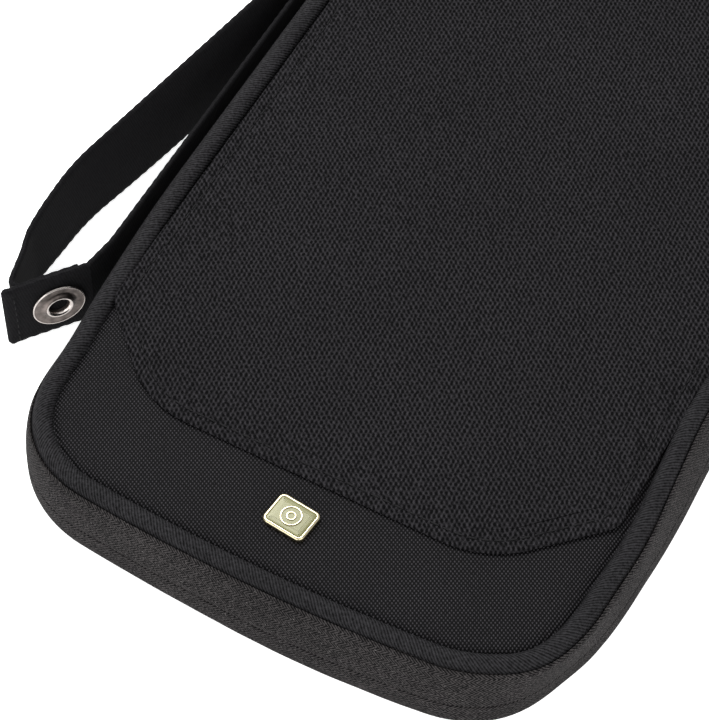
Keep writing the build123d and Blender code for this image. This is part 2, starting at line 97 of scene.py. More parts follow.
class WalletColours(bpy.types.PropertyGroup):
    nylon_dark: colour("Nylon ground", "Between the threads of the cover cloth", (0.0012, 0.0012, 0.0014))
    # The nylon's thread colour is lighter than its ground to hold painted sheen on the threads' tops.
    nylon_light: colour("Nylon thread", "Tops of the threads of the cover cloth", (0.043, 0.0405, 0.0445))
    mesh_dark: colour("Mesh holes", "Holes of the mesh cloth", (0.0016, 0.0016, 0.0018))
    mesh_light: colour("Mesh yarn", "Yarn of the mesh cloth", (0.031, 0.0295, 0.0325))
    tape_dark: colour("Tape ground", "Between the ribs of the tapes", (0.0022, 0.0021, 0.0023))
    tape_light: colour("Tape rib", "Ribs of the bias tape", (0.03, 0.0292, 0.0315))
    wall_light: colour("Wall rib", "Ribs of the zip tape", (0.052, 0.0475, 0.0475))
    webbing_light: colour("Webbing rib", "Ribs of the strap", (0.017, 0.0165, 0.018))
    lining: colour("Lining", "Cloth of the pockets and lining", (0.075, 0.08, 0.09))
    gold: colour("Badge gold", "Frame of the badge", (0.6, 0.53, 0.35))
    enamel: colour("Badge face", "Face of the badge", (0.13, 0.127, 0.05))
    nickel: colour("Nickel", "Worn metal of the press stud", (0.15, 0.128, 0.118))


# ------------------------------------------------------------------ shader expressions
class Link:
    """A node's output that takes part in sums, so that shader maths reads as an expression."""

    def __init__(self, tree, socket):
        self.tree = tree
        self.socket = socket

    def sum(self, operation, *others):
        node = self.tree.nodes.new("ShaderNodeMath")
        node.operation = operation
        for slot, value in zip(node.inputs, others):
            plug(self.tree, value, slot)
        return Link(self.tree, node.outputs[0])

    def __add__(self, other):
        return self.sum("ADD", self, other)

    def __sub__(self, other):
        return self.sum("SUBTRACT", self, other)

    def __mul__(self, other):
        return self.sum("MULTIPLY", self, other)

    def __rsub__(self, other):
        return self.sum("SUBTRACT", other, self)

    __radd__ = __add__
    __rmul__ = __mul__

    def wave(self, period):
        """-1 to 1 and back over each period."""
        return self.sum("SINE", self * (TURN / period))

    def clip(self):
        return self.sum("MINIMUM", self.sum("MAXIMUM", self, 0.0), 1.0)

    def fold(self, period):
        """A zigzag from 0 to period and back."""
        return self.sum("PINGPONG", self, period)

    def power(self, exponent):
        return self.sum("POWER", self, exponent)

    def above(self, level):
        return self.sum("GREATER_THAN", self, level)


def plug(tree, value, slot):
    if isinstance(value, Link):
        tree.links.new(value.socket, slot)
    else:
        slot.default_value = value


class Finish:
    """A material under construction."""

    def __init__(self, name):
        self.material = bpy.data.materials.new(name)
        self.material.use_nodes = True
        self.tree = self.material.node_tree
        self.shader = self.tree.nodes["Principled BSDF"]

    def node(self, kind, settings=None, output=0, **values):
        """Adds any node: its settings first, then the values or links of its sockets."""
        node = self.tree.nodes.new("ShaderNode" + kind)
        for key, value in (settings or {}).items():
            setattr(node, key, value)
        for key, value in values.items():
            plug(self.tree, value, node.inputs[key.replace("_", " ")])
        return Link(self.tree, node.outputs[output])

    def place(self, turned=0.0):
        """x and y on the piece, in metres, turned about Z."""
        at = self.node("TexCoord", output=3)
        return self.parts(self.node("Mapping", Vector=at, Rotation=(0, 0, turned)))

    def run(self):
        """Distance along and across the piece's own cloth, in metres."""
        return self.parts(self.node("UVMap", {"uv_map": "Cloth"}))

    def parts(self, vector):
        """The first two parts of a vector."""
        outputs = self.node("SeparateXYZ", Vector=vector).socket.node.outputs
        return Link(self.tree, outputs[0]), Link(self.tree, outputs[1])

    def grain(self, scale, detail=2.0):
        """Cloudy noise from 0 to 1."""
        at = self.node("TexCoord", output=3)
        return self.node("TexNoise", Vector=at, Scale=scale, Detail=detail)

    def mix(self, mask, dark, light):
        node = self.tree.nodes.new("ShaderNodeMix")
        node.data_type = "RGBA"
        plug(self.tree, mask, node.inputs["Factor"])
        plug(self.tree, dark if isinstance(dark, Link) else (*dark, 1), node.inputs[6])
        plug(self.tree, light if isinstance(light, Link) else (*light, 1), node.inputs[7])
        return Link(self.tree, node.outputs[2])

    def bump(self, height, depth, strength=1.0):
        """Raises the surface by height times depth, in metres."""
        normal = self.node("Bump", Height=height, Distance=depth, Strength=strength)
        plug(self.tree, normal, self.shader.inputs["Normal"])

    def relief(self, height, dark, light, depth, strength, **values):
        """A surface whose high parts are raised and lighter."""
        self.bump(height, depth, strength)
        return self.set(Base_Color=self.mix(height, dark, light), **values)

    def set(self, **values):
        for key, value in values.items():
            value = (*value, 1) if key == "Base_Color" and not isinstance(value, Link) else value
            plug(self.tree, value, self.shader.inputs[key.replace("_", " ")])
        return self.material


FINISHES, MAKERS = {}, {}


def maker(make):
    """Lists a function that makes a finish under its own name."""
    MAKERS[make.__name__] = make
    return make


def finish(name):
    """The finish of that name, made on first use."""
    if name not in FINISHES:
        FINISHES[name] = MAKERS[name](Finish(name), bpy.context.scene.wallet_colours)
    return FINISHES[name]


TAB_TURN = math.radians(38.2)  # between the press-stud tab and the spine
TAB_WAY = Vector((-math.sin(TAB_TURN), -math.cos(TAB_TURN)))
CLOTH_TURN = math.radians(-28.8)  # the weave lies across the covers at this angle


@maker
def ballistic_nylon(f, c):
    x, y = f.place(CLOTH_TURN)
    wander = f.grain(900.0) - 0.5
    knots = (x + wander * 0.00008).wave(0.835 * MM) * (y + wander * 0.00008).wave(1.146 * MM)
    top = knots.clip().power(0.85)
    patchy = f.grain(55.0) * 0.5 + 0.75
    sheen = f.grain(1500.0, 3.0) * 1.6 + 0.25
    # The weave's pattern is the cloth's own, but its lighter thread tops and the speckled sheen factor are
    # painted sheen in the colour.
    colour_of = f.mix((top * patchy * sheen).clip(), c.nylon_dark, c.nylon_light)
    f.bump(top + f.grain(2600.0) * 0.35, 0.16 * MM, 0.9)
    return f.set(Base_Color=colour_of, Roughness=0.62 - top * 0.12, Specular_IOR_Level=0.06)


@maker
def knit_mesh(f, c):
    x, y = f.place(CLOTH_TURN)
    wander = f.grain(420.0, 1.0) - 0.5
    across = x + wander * 0.0005
    along = y + (f.grain(300.0, 1.0) - 0.5) * 0.0009
    yarn = across.wave(1.04 * MM) * along.wave(2.2 * MM)
    yarn = (yarn * 0.62 + (f.grain(1500.0, 2.0) - 0.5) * 1.7 + 0.42).clip()
    patchy = f.grain(40.0) * 0.3 + 0.8
    colour_of = f.mix((yarn * patchy).clip(), c.mesh_dark, c.mesh_light)
    f.bump(yarn, 0.42 * MM, 0.9)
    return f.set(Base_Color=colour_of, Roughness=0.8, Specular_IOR_Level=0.04)


@maker
def bias_tape(f, c):
    u, v = f.run()
    ribs = (u * 0.78 + v * 0.62 + (f.grain(700.0) - 0.5) * 0.00016).wave(0.62 * MM)
    top = (ribs * 0.34 + 0.46 + (f.grain(1500.0) - 0.5) * 1.5).clip()
    worn = f.grain(90.0) * 0.5 + 0.7
    f.bump(top, 0.1 * MM, 0.8)
    colour_of = f.mix(top * worn, c.tape_dark, c.tape_light)
    return f.set(Base_Color=colour_of, Roughness=0.7, Specular_IOR_Level=0.06)


@maker
def zip_tape(f, c):
    u, v = f.run()
    slant = v.fold(1.3 * MM)
    fuzz = f.grain(1500.0, 4.0)
    ribs = (u + slant * 1.1 + (f.grain(500.0) - 0.5) * 0.0004).wave(0.82 * MM)
    top = (ribs * 0.5 + 0.4 + (fuzz - 0.5) * 2.4).clip()
    specks = f.grain(1900.0, 1.0).above(0.76)
    shade = f.mix((top * (f.grain(70.0) * 0.6 + 0.65)).clip(), c.tape_dark, c.wall_light)
    colour_of = f.mix(specks * 0.6, shade, (0.2, 0.19, 0.185))
    f.bump(top, 0.2 * MM, 0.85)
    return f.set(Base_Color=colour_of, Roughness=0.85, Specular_IOR_Level=0.06)


@maker
def zip_tape_flat(f, c):
    x, y = f.place()
    ribs = (x + y.fold(1.3 * MM) * 1.1).wave(0.72 * MM)
    top = (ribs * 0.32 + 0.28 + f.grain(1500.0, 4.0) * 0.75 - 0.2).clip()
    return f.relief(
        top, c.tape_dark, c.wall_light, 0.1 * MM, 0.6, Roughness=0.85, Specular_IOR_Level=0.06
    )


@maker
def spine_nylon(f, c):
    u, v = f.run()
    ribs = (u * 0.8 + v * 0.6 + (f.grain(700.0) - 0.5) * 0.0002).wave(0.7 * MM)
    top = (ribs * 0.4 + 0.42 + (f.grain(1500.0) - 0.5) * 1.7).clip()
    return f.relief(
        top, c.tape_dark, c.tape_light, 0.12 * MM, 0.8, Roughness=0.75, Specular_IOR_Level=0.06
    )


@maker
def webbing(f, c):
    u, v = f.run()
    ribs = (u + v * 0.25 + (f.grain(600.0) - 0.5) * 0.0002).wave(0.62 * MM)
    warp = v.wave(0.55 * MM)
    top = (ribs * 0.2 + warp * 0.14 + 0.42 + (f.grain(1500.0) - 0.5) * 0.9).clip()
    dark = (0.004, 0.004, 0.0043)
    return f.relief(top, dark, c.webbing_light, 0.08 * MM, 0.7, Roughness=0.78, Specular_IOR_Level=0.04)


@maker
def lining(f, c):
    x, y = f.place()
    weave = x.wave(0.36 * MM) * y.wave(0.36 * MM)
    top = (weave * 0.35 + 0.5 + (f.grain(400.0) - 0.5) * 0.3).clip()
    dark = tuple(value * 0.6 for value in c.lining)
    return f.relief(top, dark, c.lining, 0.05 * MM, 0.6, Roughness=0.55, Specular_IOR_Level=0.3)


@maker
def edge_ribbon(f, c):
    ribs = f.place()[0].wave(0.8 * MM)
    top = (ribs * 0.4 + 0.5 + (f.grain(900.0) - 0.5) * 0.3).clip()
    return f.relief(top, (0.006, 0.006, 0.007), (0.035, 0.035, 0.04), 0.1 * MM, 0.8, Roughness=0.7)


@maker
def thread(f, c):
    twist = f.grain(4000.0)
    colour_of = f.mix(twist, (0.005, 0.005, 0.0055), (0.016, 0.0155, 0.0165))
    return f.set(Base_Color=colour_of, Roughness=0.6, Specular_IOR_Level=0.1)


@maker
def aged_nickel(f, c):
    stain = f.grain(620.0, 4.0)
    scratches = f.grain(2600.0, 3.0)
    dark = tuple(value * 0.42 for value in c.nickel)
    light = tuple(min(1.0, value * 1.9) for value in c.nickel)
    colour_of = f.mix((stain * 1.5 - 0.3).clip(), dark, light)
    f.bump(scratches, 0.03 * MM, 0.5)
    return f.set(Base_Color=colour_of, Metallic=1.0, Roughness=0.3 + scratches * 0.25)


# A lighter, glossier copy of the nickel: a painted highlight, laid on the press stud ring's rims.
@maker
def nickel_highlight(f, c):
    scratches = f.grain(2200.0, 3.0)
    f.bump(scratches, 0.02 * MM, 0.3)
    return f.set(Base_Color=(0.6, 0.55, 0.52), Metallic=1.0, Roughness=0.15 + scratches * 0.14)


@maker
def gunmetal(f, c):
    scratches = f.grain(1500.0, 3.0)
    dark, light = (0.05, 0.05, 0.055), (0.12, 0.12, 0.13)
    rough = 0.28 + scratches * 0.2
    return f.relief(scratches, dark, light, 0.02 * MM, 0.4, Metallic=1.0, Roughness=rough)


@maker
def pale_gold(f, c):
    scratches = f.grain(1700.0, 3.0)
    f.bump(scratches, 0.02 * MM, 0.25)
    return f.set(Base_Color=c.gold, Metallic=1.0, Roughness=0.1 + scratches * 0.16)


@maker
def badge_enamel(f, c):
    cloud = f.grain(260.0, 2.0)
    light = tuple(min(1.0, value * 1.35) for value in c.enamel)
    colour_of = f.mix(cloud, c.enamel, light)
    f.bump(f.grain(1400.0), 0.01 * MM, 0.2)
    return f.set(Base_Color=colour_of, Metallic=0.15, Roughness=0.32 + cloud * 0.1, Coat_Weight=0.15)


@maker
def pull_rubber(f, c):
    f.bump(f.grain(1600.0, 3.0), 0.05 * MM, 0.6)
    colour_of = f.mix(f.grain(300.0), (0.008, 0.008, 0.009), (0.022, 0.022, 0.024))
    return f.set(Base_Color=colour_of, Roughness=0.6)


@maker
def zip_coil(f, c):
    colour_of = f.mix(f.grain(900.0), (0.008, 0.008, 0.009), (0.03, 0.03, 0.032))
    f.bump(f.grain(2400.0), 0.02 * MM, 0.4)
    return f.set(Base_Color=colour_of, Roughness=0.38)


@maker
def padding(f, c):
    cells = f.grain(1900.0, 3.0)
    return f.relief(cells, (0.03, 0.03, 0.032), (0.11, 0.11, 0.115), 0.2 * MM, 0.8, Roughness=0.95)


@maker
def board(f, c):
    cells = f.grain(500.0, 3.0)
    return f.relief(cells, (0.05, 0.05, 0.05), (0.09, 0.09, 0.09), 0.02 * MM, 0.5, Roughness=0.5)


@maker
def floor(f, c):
    cloud = f.grain(6.0, 2.0)
    f.bump(cloud, 0.05 * MM, 0.1)
    pale = f.mix(cloud, (0.9, 0.9, 0.9), (0.93, 0.93, 0.93))
    return f.set(Base_Color=pale, Roughness=0.9, Emission_Color=(1, 1, 1, 1), Emission_Strength=0.75)


# ------------------------------------------------------------------ cloth shapes
def piece(name, verts, faces, cloth=None):
    """A new mesh object; cloth gives each face corner's distance along and across, if any."""
    mesh = bpy.data.meshes.new(name)
    mesh.from_pydata([tuple(v) for v in verts], [], faces)
    if cloth:
        layer = mesh.uv_layers.new(name="Cloth")
        flat = [value for corner in cloth for value in corner]
        layer.data.foreach_set("uv", flat)
    mesh.validate()
    obj = bpy.data.objects.new(name, mesh)
    bpy.context.collection.objects.link(obj)
    return obj


def only(obj):
    """Selects that object alone and makes it active."""
    bpy.ops.object.select_all(action="DESELECT")
    obj.select_set(True)
    bpy.context.view_layer.objects.active = obj


def outwards(obj, merge=0.0):
    """Turns every face outwards, after merging doubled points when asked."""
    only(obj)
    bpy.ops.object.mode_set(mode="EDIT")
    bpy.ops.mesh.select_all(action="SELECT")
    if merge:
        bpy.ops.mesh.remove_doubles(threshold=merge)
    bpy.ops.mesh.normals_make_consistent(inside=False)
    bpy.ops.object.mode_set(mode="OBJECT")


def dress(obj, finish_name, slot, body, nodes=(), smooth=50):
    """Gives a finished piece its finish, its smoothing, its body and the nodes it stands for."""
    obj.data.materials.clear()
    obj.data.materials.append(finish(finish_name))
    only(obj)
    bpy.ops.object.shade_smooth_by_angle(angle=math.radians(smooth))
    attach(obj, body)
    if nodes:
        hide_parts(*nodes)
    return obj


def seam_route(half_wide, half_long, corner, bow, step=2.2 * MM):
    """The seam round a cover from the spine's middle, anticlockwise: (point, normal, run)."""
    bow_radius = (half_wide**2 + bow**2) / (2 * bow)
    bow_centre = bow_radius - half_long
    corner_x = half_wide - corner
    corner_y = math.sqrt((bow_radius - corner) ** 2 - corner_x**2) - bow_centre
    lean = math.atan2(corner_x, corner_y + bow_centre)
    pieces = [("line", (-half_wide, 0), (-half_wide, -corner_y), (-1, 0))]
    right, down = math.pi, 1.5 * math.pi
    pieces.append(("arc", (-corner_x, -corner_y), corner, right, down - lean))
    pieces.append(("arc", (0, bow_centre), bow_radius, down - lean, down + lean))
    pieces.append(("arc", (corner_x, -corner_y), corner, down + lean, 2 * math.pi))
    pieces.append(("line", (half_wide, -corner_y), (half_wide, corner_y), (1, 0)))
    pieces.append(("arc", (corner_x, corner_y), corner, 0, math.pi / 2 - lean))
    pieces.append(("arc", (0, -bow_centre), bow_radius, math.pi / 2 - lean, math.pi / 2 + lean))
    pieces.append(("arc", (-corner_x, corner_y), corner, math.pi / 2 + lean, math.pi))
    pieces.append(("line", (-half_wide, corner_y), (-half_wide, 0), (-1, 0)))
    points = []
    for part in pieces:
        if part[0] == "line":
            start, end, normal = Vector(part[1]), Vector(part[2]), Vector(part[3])
            count = max(2, round((end - start).length / step))
            points += [(start.lerp(end, k / count), normal) for k in range(count)]
        else:
            centre, radius, low, high = Vector(part[1]), part[2], part[3], part[4]
            count = max(6, round(radius * (high - low) / (step * 0.8)))
            for k in range(count):
                angle = low + (high - low) * k / count
                normal = Vector((math.cos(angle), math.sin(angle)))
                points.append((centre + normal * radius, normal))
    return with_runs(points)


def with_runs(points):
    """Adds the distance run so far to each (point, normal)."""
    route, run = [], 0.0
    for k, (point, normal) in enumerate(points):
        run += (point - points[k - 1][0]).length if k else 0.0
        route.append((point, normal, run))
    return route


def quads(base, rings, around):
    """Faces between each ring of points and the next."""
    faces = []
    for ring in range(rings - 1):
        for k in range(around):
            a, b = base + ring * around + k, base + ring * around + (k + 1) % around
            faces.append((a, b, b + around, a + around))
    return faces


def loft(name, route, section, closed_route=True):
    """Cloth drawn along a route: section(k) lists (out, height) at the route's k-th point."""
    sections = [section(k) for k in range(len(route))]
    across = len(sections[0])
    verts = []
    for (point, normal, run), profile in zip(route, sections):
        verts += [(*(point + normal * out), height) for out, height in profile]
    spans = [0.0]
    for k in range(across):
        a, b = Vector(sections[0][k]), Vector(sections[0][(k + 1) % across])
        spans.append(spans[-1] + (b - a).length)
    total = route[-1][2] + (route[0][0] - route[-1][0]).length
    runs = [run for point, normal, run in route] + [total]
    rows = len(route) if closed_route else len(route) - 1
    faces, cloth = [], []
    for i in range(rows):
        i2 = (i + 1) % len(route)
        for j in range(across):
            j2 = (j + 1) % across
            faces.append((i * across + j, i2 * across + j, i2 * across + j2, i * across + j2))
            low, high = runs[i], runs[i + 1]
            cloth += [(low, spans[j]), (high, spans[j]), (high, spans[j + 1]), (low, spans[j + 1])]
    if not closed_route:
        first = list(range(across))
        last = [(len(route) - 1) * across + j for j in range(across)]
        faces += [first, last]
        cloth += [(0, spans[j]) for j in first] + [(total, spans[j - last[0]]) for j in last]
    obj = piece(name, verts, faces, cloth)
    outwards(obj)
    return obj


def sheet_inside(loop, height, pitch=4.0 * MM):
    """Points and triangles that fill a loop with an even grid, lifted by height(x, y)."""
    count = len(loop)
    xs, ys = [p.x for p in loop], [p.y for p in loop]
    extra = []
    for i in range(1, int((max(xs) - min(xs)) / pitch)):
        for j in range(1, int((max(ys) - min(ys)) / pitch)):
            p = Vector((min(xs) + i * pitch, min(ys) + j * pitch))
            if inside(p, loop) and min((p - q).length for q in loop) > 0.55 * pitch:
                extra.append(p)
    edges = [(k, (k + 1) % count) for k in range(count)]
    flat, _, triangles, *_ = delaunay_2d_cdt([*loop, *extra], edges, [], 1, 1e-7)
    return [(p.x, p.y, height(p.x, p.y)) for p in flat], triangles


def inside(p, loop):
    """Whether a point is inside a loop, by counting the edges that it sees to its right."""
    odd = False
    for a, b in zip(loop, loop[1:] + loop[:1]):
        if (a.y > p.y) != (b.y > p.y) and p.x < a.x + (p.y - a.y) * (b.x - a.x) / (b.y - a.y):
            odd = not odd
    return odd


def pad(name, route, steps, top, pitch=4.0 * MM):
    """A padded sheet: rings at each (inset, height) round its edge, then a crowned middle."""
    verts = [(*(p + n * -inset), height) for inset, height in steps for p, n, run in route]
    count = len(route)
    faces = quads(0, len(steps), count)
    loop = [p + n * -steps[-1][0] for p, n, run in route]
    filled, triangles = sheet_inside(loop, top, pitch)
    base = len(verts)
    verts += filled
    faces += [tuple(base + k for k in t) for t in triangles]
    faces.append(tuple(range(count)))
    obj = piece(name, verts, faces)
    outwards(obj, merge=0.02 * MM)
    return obj


def gentle(x, y, z, scale, depth):
    """A soft unevenness, the same each time."""
    return noise.noise(Vector((x, y, z)) * scale) * depth


# ------------------------------------------------------------------ hard shapes
def box_shape(name, dims, at):
    """A box of those sizes whose middle is at a place."""
    bpy.ops.object.select_all(action="DESELECT")
    bpy.ops.mesh.primitive_cube_add(size=1, location=at, scale=dims)
    obj = bpy.context.active_object
    obj.name = name
    bpy.ops.object.transform_apply(location=True, rotation=True, scale=True)
    return obj


def pick(obj, kind, test):
    """Enters edit mode with only the vertices, edges or faces selected whose points pass a test."""
    only(obj)
    bpy.ops.object.mode_set(mode="EDIT")
    bpy.ops.mesh.select_mode(type=kind)
    bpy.ops.mesh.select_all(action="DESELECT")
    bpy.ops.object.mode_set(mode="OBJECT")
    mesh = obj.data
    for item in mesh.edges if kind == "EDGE" else mesh.polygons:
        item.select = test([mesh.vertices[v].co for v in item.vertices])
    bpy.ops.object.mode_set(mode="EDIT")


def leave_edit():
    bpy.ops.object.mode_set(mode="OBJECT")


def plate(name, dims, at, corner, edge=0.0, segments=6):
    """A plate with round corners and, when asked, rounded rims above and below."""
    obj = box_shape(name, dims, at)
    pick(obj, "EDGE", lambda ends: abs(ends[0].z - ends[1].z) > dims[2] * 0.9)
    bpy.ops.mesh.bevel(offset=corner, segments=segments, affect="EDGES")
    leave_edit()
    if edge:
        pick(obj, "EDGE", lambda ends: abs(ends[0].z - ends[1].z) < 1e-7)
        bpy.ops.mesh.bevel(offset=edge, segments=3, affect="EDGES")
        leave_edit()
    return obj


def prism(name, outline, depth, edge=0.0):
    """A shape cut out in x and z, depth thick along y about the middle, with eased edges."""
    obj = piece(name, [(x, -depth / 2, z) for x, z in outline], [tuple(range(len(outline)))])
    pick(obj, "FACE", lambda ends: True)
    bpy.ops.mesh.extrude_region_move(TRANSFORM_OT_translate={"value": (0, depth, 0)})
    leave_edit()
    outwards(obj)
    if edge:
        pick(obj, "EDGE", lambda ends: abs(ends[0].y - ends[1].y) < depth * 0.5)
        bpy.ops.mesh.bevel(offset=edge, segments=2, affect="EDGES")
        leave_edit()
    return obj


def spun(name, profile, steps=64):
    """A turned part: (radius, height) points spun about z."""
    obj = piece(name, [(radius, 0, height) for radius, height in profile], [])
    obj.data.edges.add(len(profile) - 1)
    for k in range(len(profile) - 1):
        obj.data.edges[k].vertices = (k, k + 1)
    only(obj)
    bpy.ops.object.mode_set(mode="EDIT")
    bpy.ops.mesh.select_all(action="SELECT")
    bpy.ops.mesh.spin(steps=steps, angle=TURN, center=(0, 0, 0), axis=(0, 0, 1))
    leave_edit()
    outwards(obj, merge=0.003 * MM)
    return obj


def rod(name, radius, long, at, sides=16):
    """A rod along y with its middle at a place."""
    bpy.ops.object.select_all(action="DESELECT")
    bpy.ops.mesh.primitive_cylinder_add(
        vertices=sides, radius=radius, depth=long, location=at, rotation=(math.pi / 2, 0, 0)
    )
    obj = bpy.context.active_object
    obj.name = name
    bpy.ops.object.transform_apply(location=True, rotation=True, scale=True)
    return obj


def joined(name, pieces):
    """Joins pieces into one object of that name."""
    only(pieces[0])
    for obj in pieces[1:]:
        obj.select_set(True)
    bpy.ops.object.join()
    pieces[0].name = name
    return pieces[0]


def settle(obj, x_dir, z_dir, at):
    """Moves a piece made at the origin to its place, so that its x and z point these ways."""
    x_dir, z_dir = Vector(x_dir).normalized(), Vector(z_dir).normalized()
    turn = Matrix((x_dir, z_dir.cross(x_dir), z_dir)).transposed().to_4x4()
    only(obj)
    obj.matrix_world = Matrix.Translation(at) @ turn
    bpy.ops.object.transform_apply(location=True, rotation=True, scale=True)
    return obj


# ------------------------------------------------------------------ shared places
def joint_at(name):
    """A point on a joint's axis."""
    return next(Vector(joint["pos_m"]) for joint in frame["joints"] if joint["name"] == name)


def back_and_face(low, high, up):
    """The heights of a sheet's back and of its face, which looks up or down."""
    return (low.z, high.z) if up > 0 else (high.z, low.z)


def seam_half_sizes():
    """Half the width and length of the seam, from the front cover's piping."""
    low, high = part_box("front_piping_tape")
    radius = (high.z - low.z) / 2
    outer = radius - bpy.context.scene.wallet_sizes.piping_inset
    return high.x - outer, high.y - outer


def the_seam():
    s = bpy.context.scene.wallet_sizes
    half_wide, half_long = seam_half_sizes()
    return seam_route(half_wide, half_long, s.corner_radius, s.end_bow)


# Where soft cloth leaves its pattern: the place along the seam, how far it spreads, how far out, in mm
FRONT_SPOTS = (
    (91, 15, -2.7), (68, 18, -1.2), (168, 45, -0.4), (233, 9, 1.2), (268, 14, 1.0), (305, 16, -1.6),
)
TUCK_SPOTS = ((87, 13, -0.6),)
WALL_SPOTS = ((89, 13, -2.2), (187, 32, 1.0), (242, 12, -2.5), (284, 14, 0.8))
WALL_ALONE = 5 * MM  # up to this height the wall doesn't follow the front cover


def softness(run, spots):
    """How far out the cloth stands from its pattern at a place along the seam."""
    place = run / MM
    return MM * sum(out * math.exp(-(((place - at) / reach) ** 2)) for at, reach, out in spots)


def drawn_in(route, spots, furthest=0.0):
    """A route moved with the cloth, which may stand out by no more than the furthest."""
    return [(p + n * min(furthest, softness(run, spots)), n, run) for p, n, run in route]


def cover_seam(side):
    """The seam as a cover's soft edge really runs: the back one only where the wall is drawn in."""
    if side == "front":
        return drawn_in(the_seam(), FRONT_SPOTS, math.inf)
    return drawn_in(the_seam(), WALL_SPOTS)


def drawn(run, height, pipe):
    """How far out the wall's cloth stands from its pattern, at a place and a height."""
    over, under = softness(run, FRONT_SPOTS + TUCK_SPOTS), softness(run, WALL_SPOTS)
    share = min(1.0, max(0.0, (height - WALL_ALONE) / (pipe - WALL_ALONE)))
    return under + (over - under) * share**1.5


def zip_stretch(route):
    """The part of the seam that the zip covers: all but the spine."""
    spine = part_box("spine_panel")[1].y
    return [p for p in route if p[0].x > 0 or abs(p[0].y) > spine]


def spine_stretch(route):
    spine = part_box("spine_panel")[1].y
    up = [p for p in route if p[0].x < 0 and abs(p[0].y) <= spine + 1.5 * MM]
    down = [p for p in up if p[0].y <= 0]
    rest = [p for p in up if p[0].y > 0]
    return with_runs([(p, n) for p, n, run in rest + down])


def stitches(name, line, body, slot, length=2.3 * MM, gap=0.9 * MM, radius=0.22 * MM):
    """A row of thread stitches along a line of points, each a low rounded bar."""
    runs = [0.0]
    for a, b in zip(line, line[1:]):
        runs.append(runs[-1] + (b - a).length)

    def at(run):
        k = max(i for i, r in enumerate(runs[:-1]) if r <= run + 1e-12)
        share = (run - runs[k]) / max(runs[k + 1] - runs[k], 1e-9)
        return line[k].lerp(line[k + 1], min(share, 1.0))

    verts, faces = [], []
    sides = 6
    swells = ((0.0, 0.35), (0.2, 0.95), (0.5, 1.0), (0.8, 0.95), (1.0, 0.35))
    for n in range(int(runs[-1] / (length + gap))):
        start, end = at(n * (length + gap)), at(n * (length + gap) + length)
        along = (end - start).normalized()
        side = along.orthogonal().normalized()
        other = along.cross(side)
        base = len(verts)
        for share, swell in swells:
            centre = start.lerp(end, share)
            for k in range(sides):
                angle = TURN * k / sides
                verts.append(centre + (side * math.cos(angle) + other * math.sin(angle)) * radius * swell)
        last = len(verts)
        faces += quads(base, len(swells), sides)
        faces += [tuple(range(base, base + sides)), tuple(range(last - sides, last))]
    obj = piece(name, verts, faces)
    outwards(obj)
    return dress(obj, "thread", slot, body)


CROWN_REACH = 30 * MM  # from a cover's edge to its full crown


# ------------------------------------------------------------------ operators
class WALLET_OT_covers(bpy.types.Operator):
    """Adds the padded cloth of the front and back covers."""

    bl_idname = "wallet.covers"
    bl_label = "Cover cloth"

    def execute(self, context):
        s = context.scene.wallet_sizes
        for side, up in (("front", 1), ("back", -1)):
            route = cover_seam(side)
            low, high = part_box(f"{side}_shell")
            inner, face = back_and_face(low, high, up)
            crown = s.panel_crown if up > 0 else 0.0

            def rise(amount):
                return face + up * amount

            def top(x, y):
                edge = min(1.0, (high.x - abs(x)) / CROWN_REACH, (high.y - abs(y)) / CROWN_REACH)
                return rise(crown * edge + (gentle(x, y, 0, 35, 0.06 * MM) if up > 0 else 0.0))

            steps = [(5.2 * MM, inner), (3.5 * MM, inner + up * 0.1 * MM)]
            rolled = ((3.45, 1.5), (3.65, 1.15), (4.0, 0.75), (4.5, 0.44), (5.3, 0.2), (6.5, 0.06))
            steps += [(inset * MM, rise(-drop * MM)) for inset, drop in rolled]
            crowned = ((9, 0.18), (13, 0.4), (17, 0.55))
            steps += [(inset * MM, rise(crown * share)) for inset, share in crowned]
            cover = pad(f"{side}_cover_cloth", route, steps, top)
            dress(cover, "ballistic_nylon", "ballistic_nylon", f"{side}_cover", [f"{side}_shell"])
        return {"FINISHED"}


class WALLET_OT_piping(bpy.types.Operator):
    """Adds the bias-covered piping round both covers."""

    bl_idname = "wallet.piping"
    bl_label = "Piping"

    def execute(self, context):
        s = context.scene.wallet_sizes
        around = 22
        for side in ("front", "back"):
            route = cover_seam(side)
            low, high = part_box(f"{side}_piping_tape")
            middle = (low.z + high.z) / 2
            radius = (high.z - low.z) / 2

            def section(k):
                point = route[k][0]
                soft = gentle(point.x, point.y, middle, 60, 0.12 * MM)
                ring = []
                for j in range(around):
                    angle = TURN * j / around
                    flat = 1.0 - 0.05 * max(0.0, math.cos(angle - math.pi / 2))
                    reach = (radius + soft * 0.5) * flat
                    ring.append((-s.piping_inset + reach * math.cos(angle), middle + reach * math.sin(angle)))
                return ring

            tube = loft(f"{side}_piping", route, section)
            dress(tube, "bias_tape", "bias_tape", f"{side}_cover", [f"{side}_piping_tape"])
            low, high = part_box(f"{side}_piping_cord")
            core = (high.z - low.z) / 2
            angles = [TURN * j / 12 for j in range(12)]
            ring = [(-s.piping_inset + core * math.cos(a), middle + core * math.sin(a)) for a in angles]
            cord = loft(f"{side}_cord", route, lambda k: ring)
            dress(cord, "thread", "piping_core", f"{side}_cover", [f"{side}_piping_cord"])
        return {"FINISHED"}


def wall_profile(bulge, levels, thick=0.75 * MM):
    """Outer then inner faces of a cloth wall, from (out share, height) levels."""
    outer = [(bulge * out, height) for out, height in levels]
    inner = [(out - thick, height) for out, height in reversed(outer)]
    return outer + inner


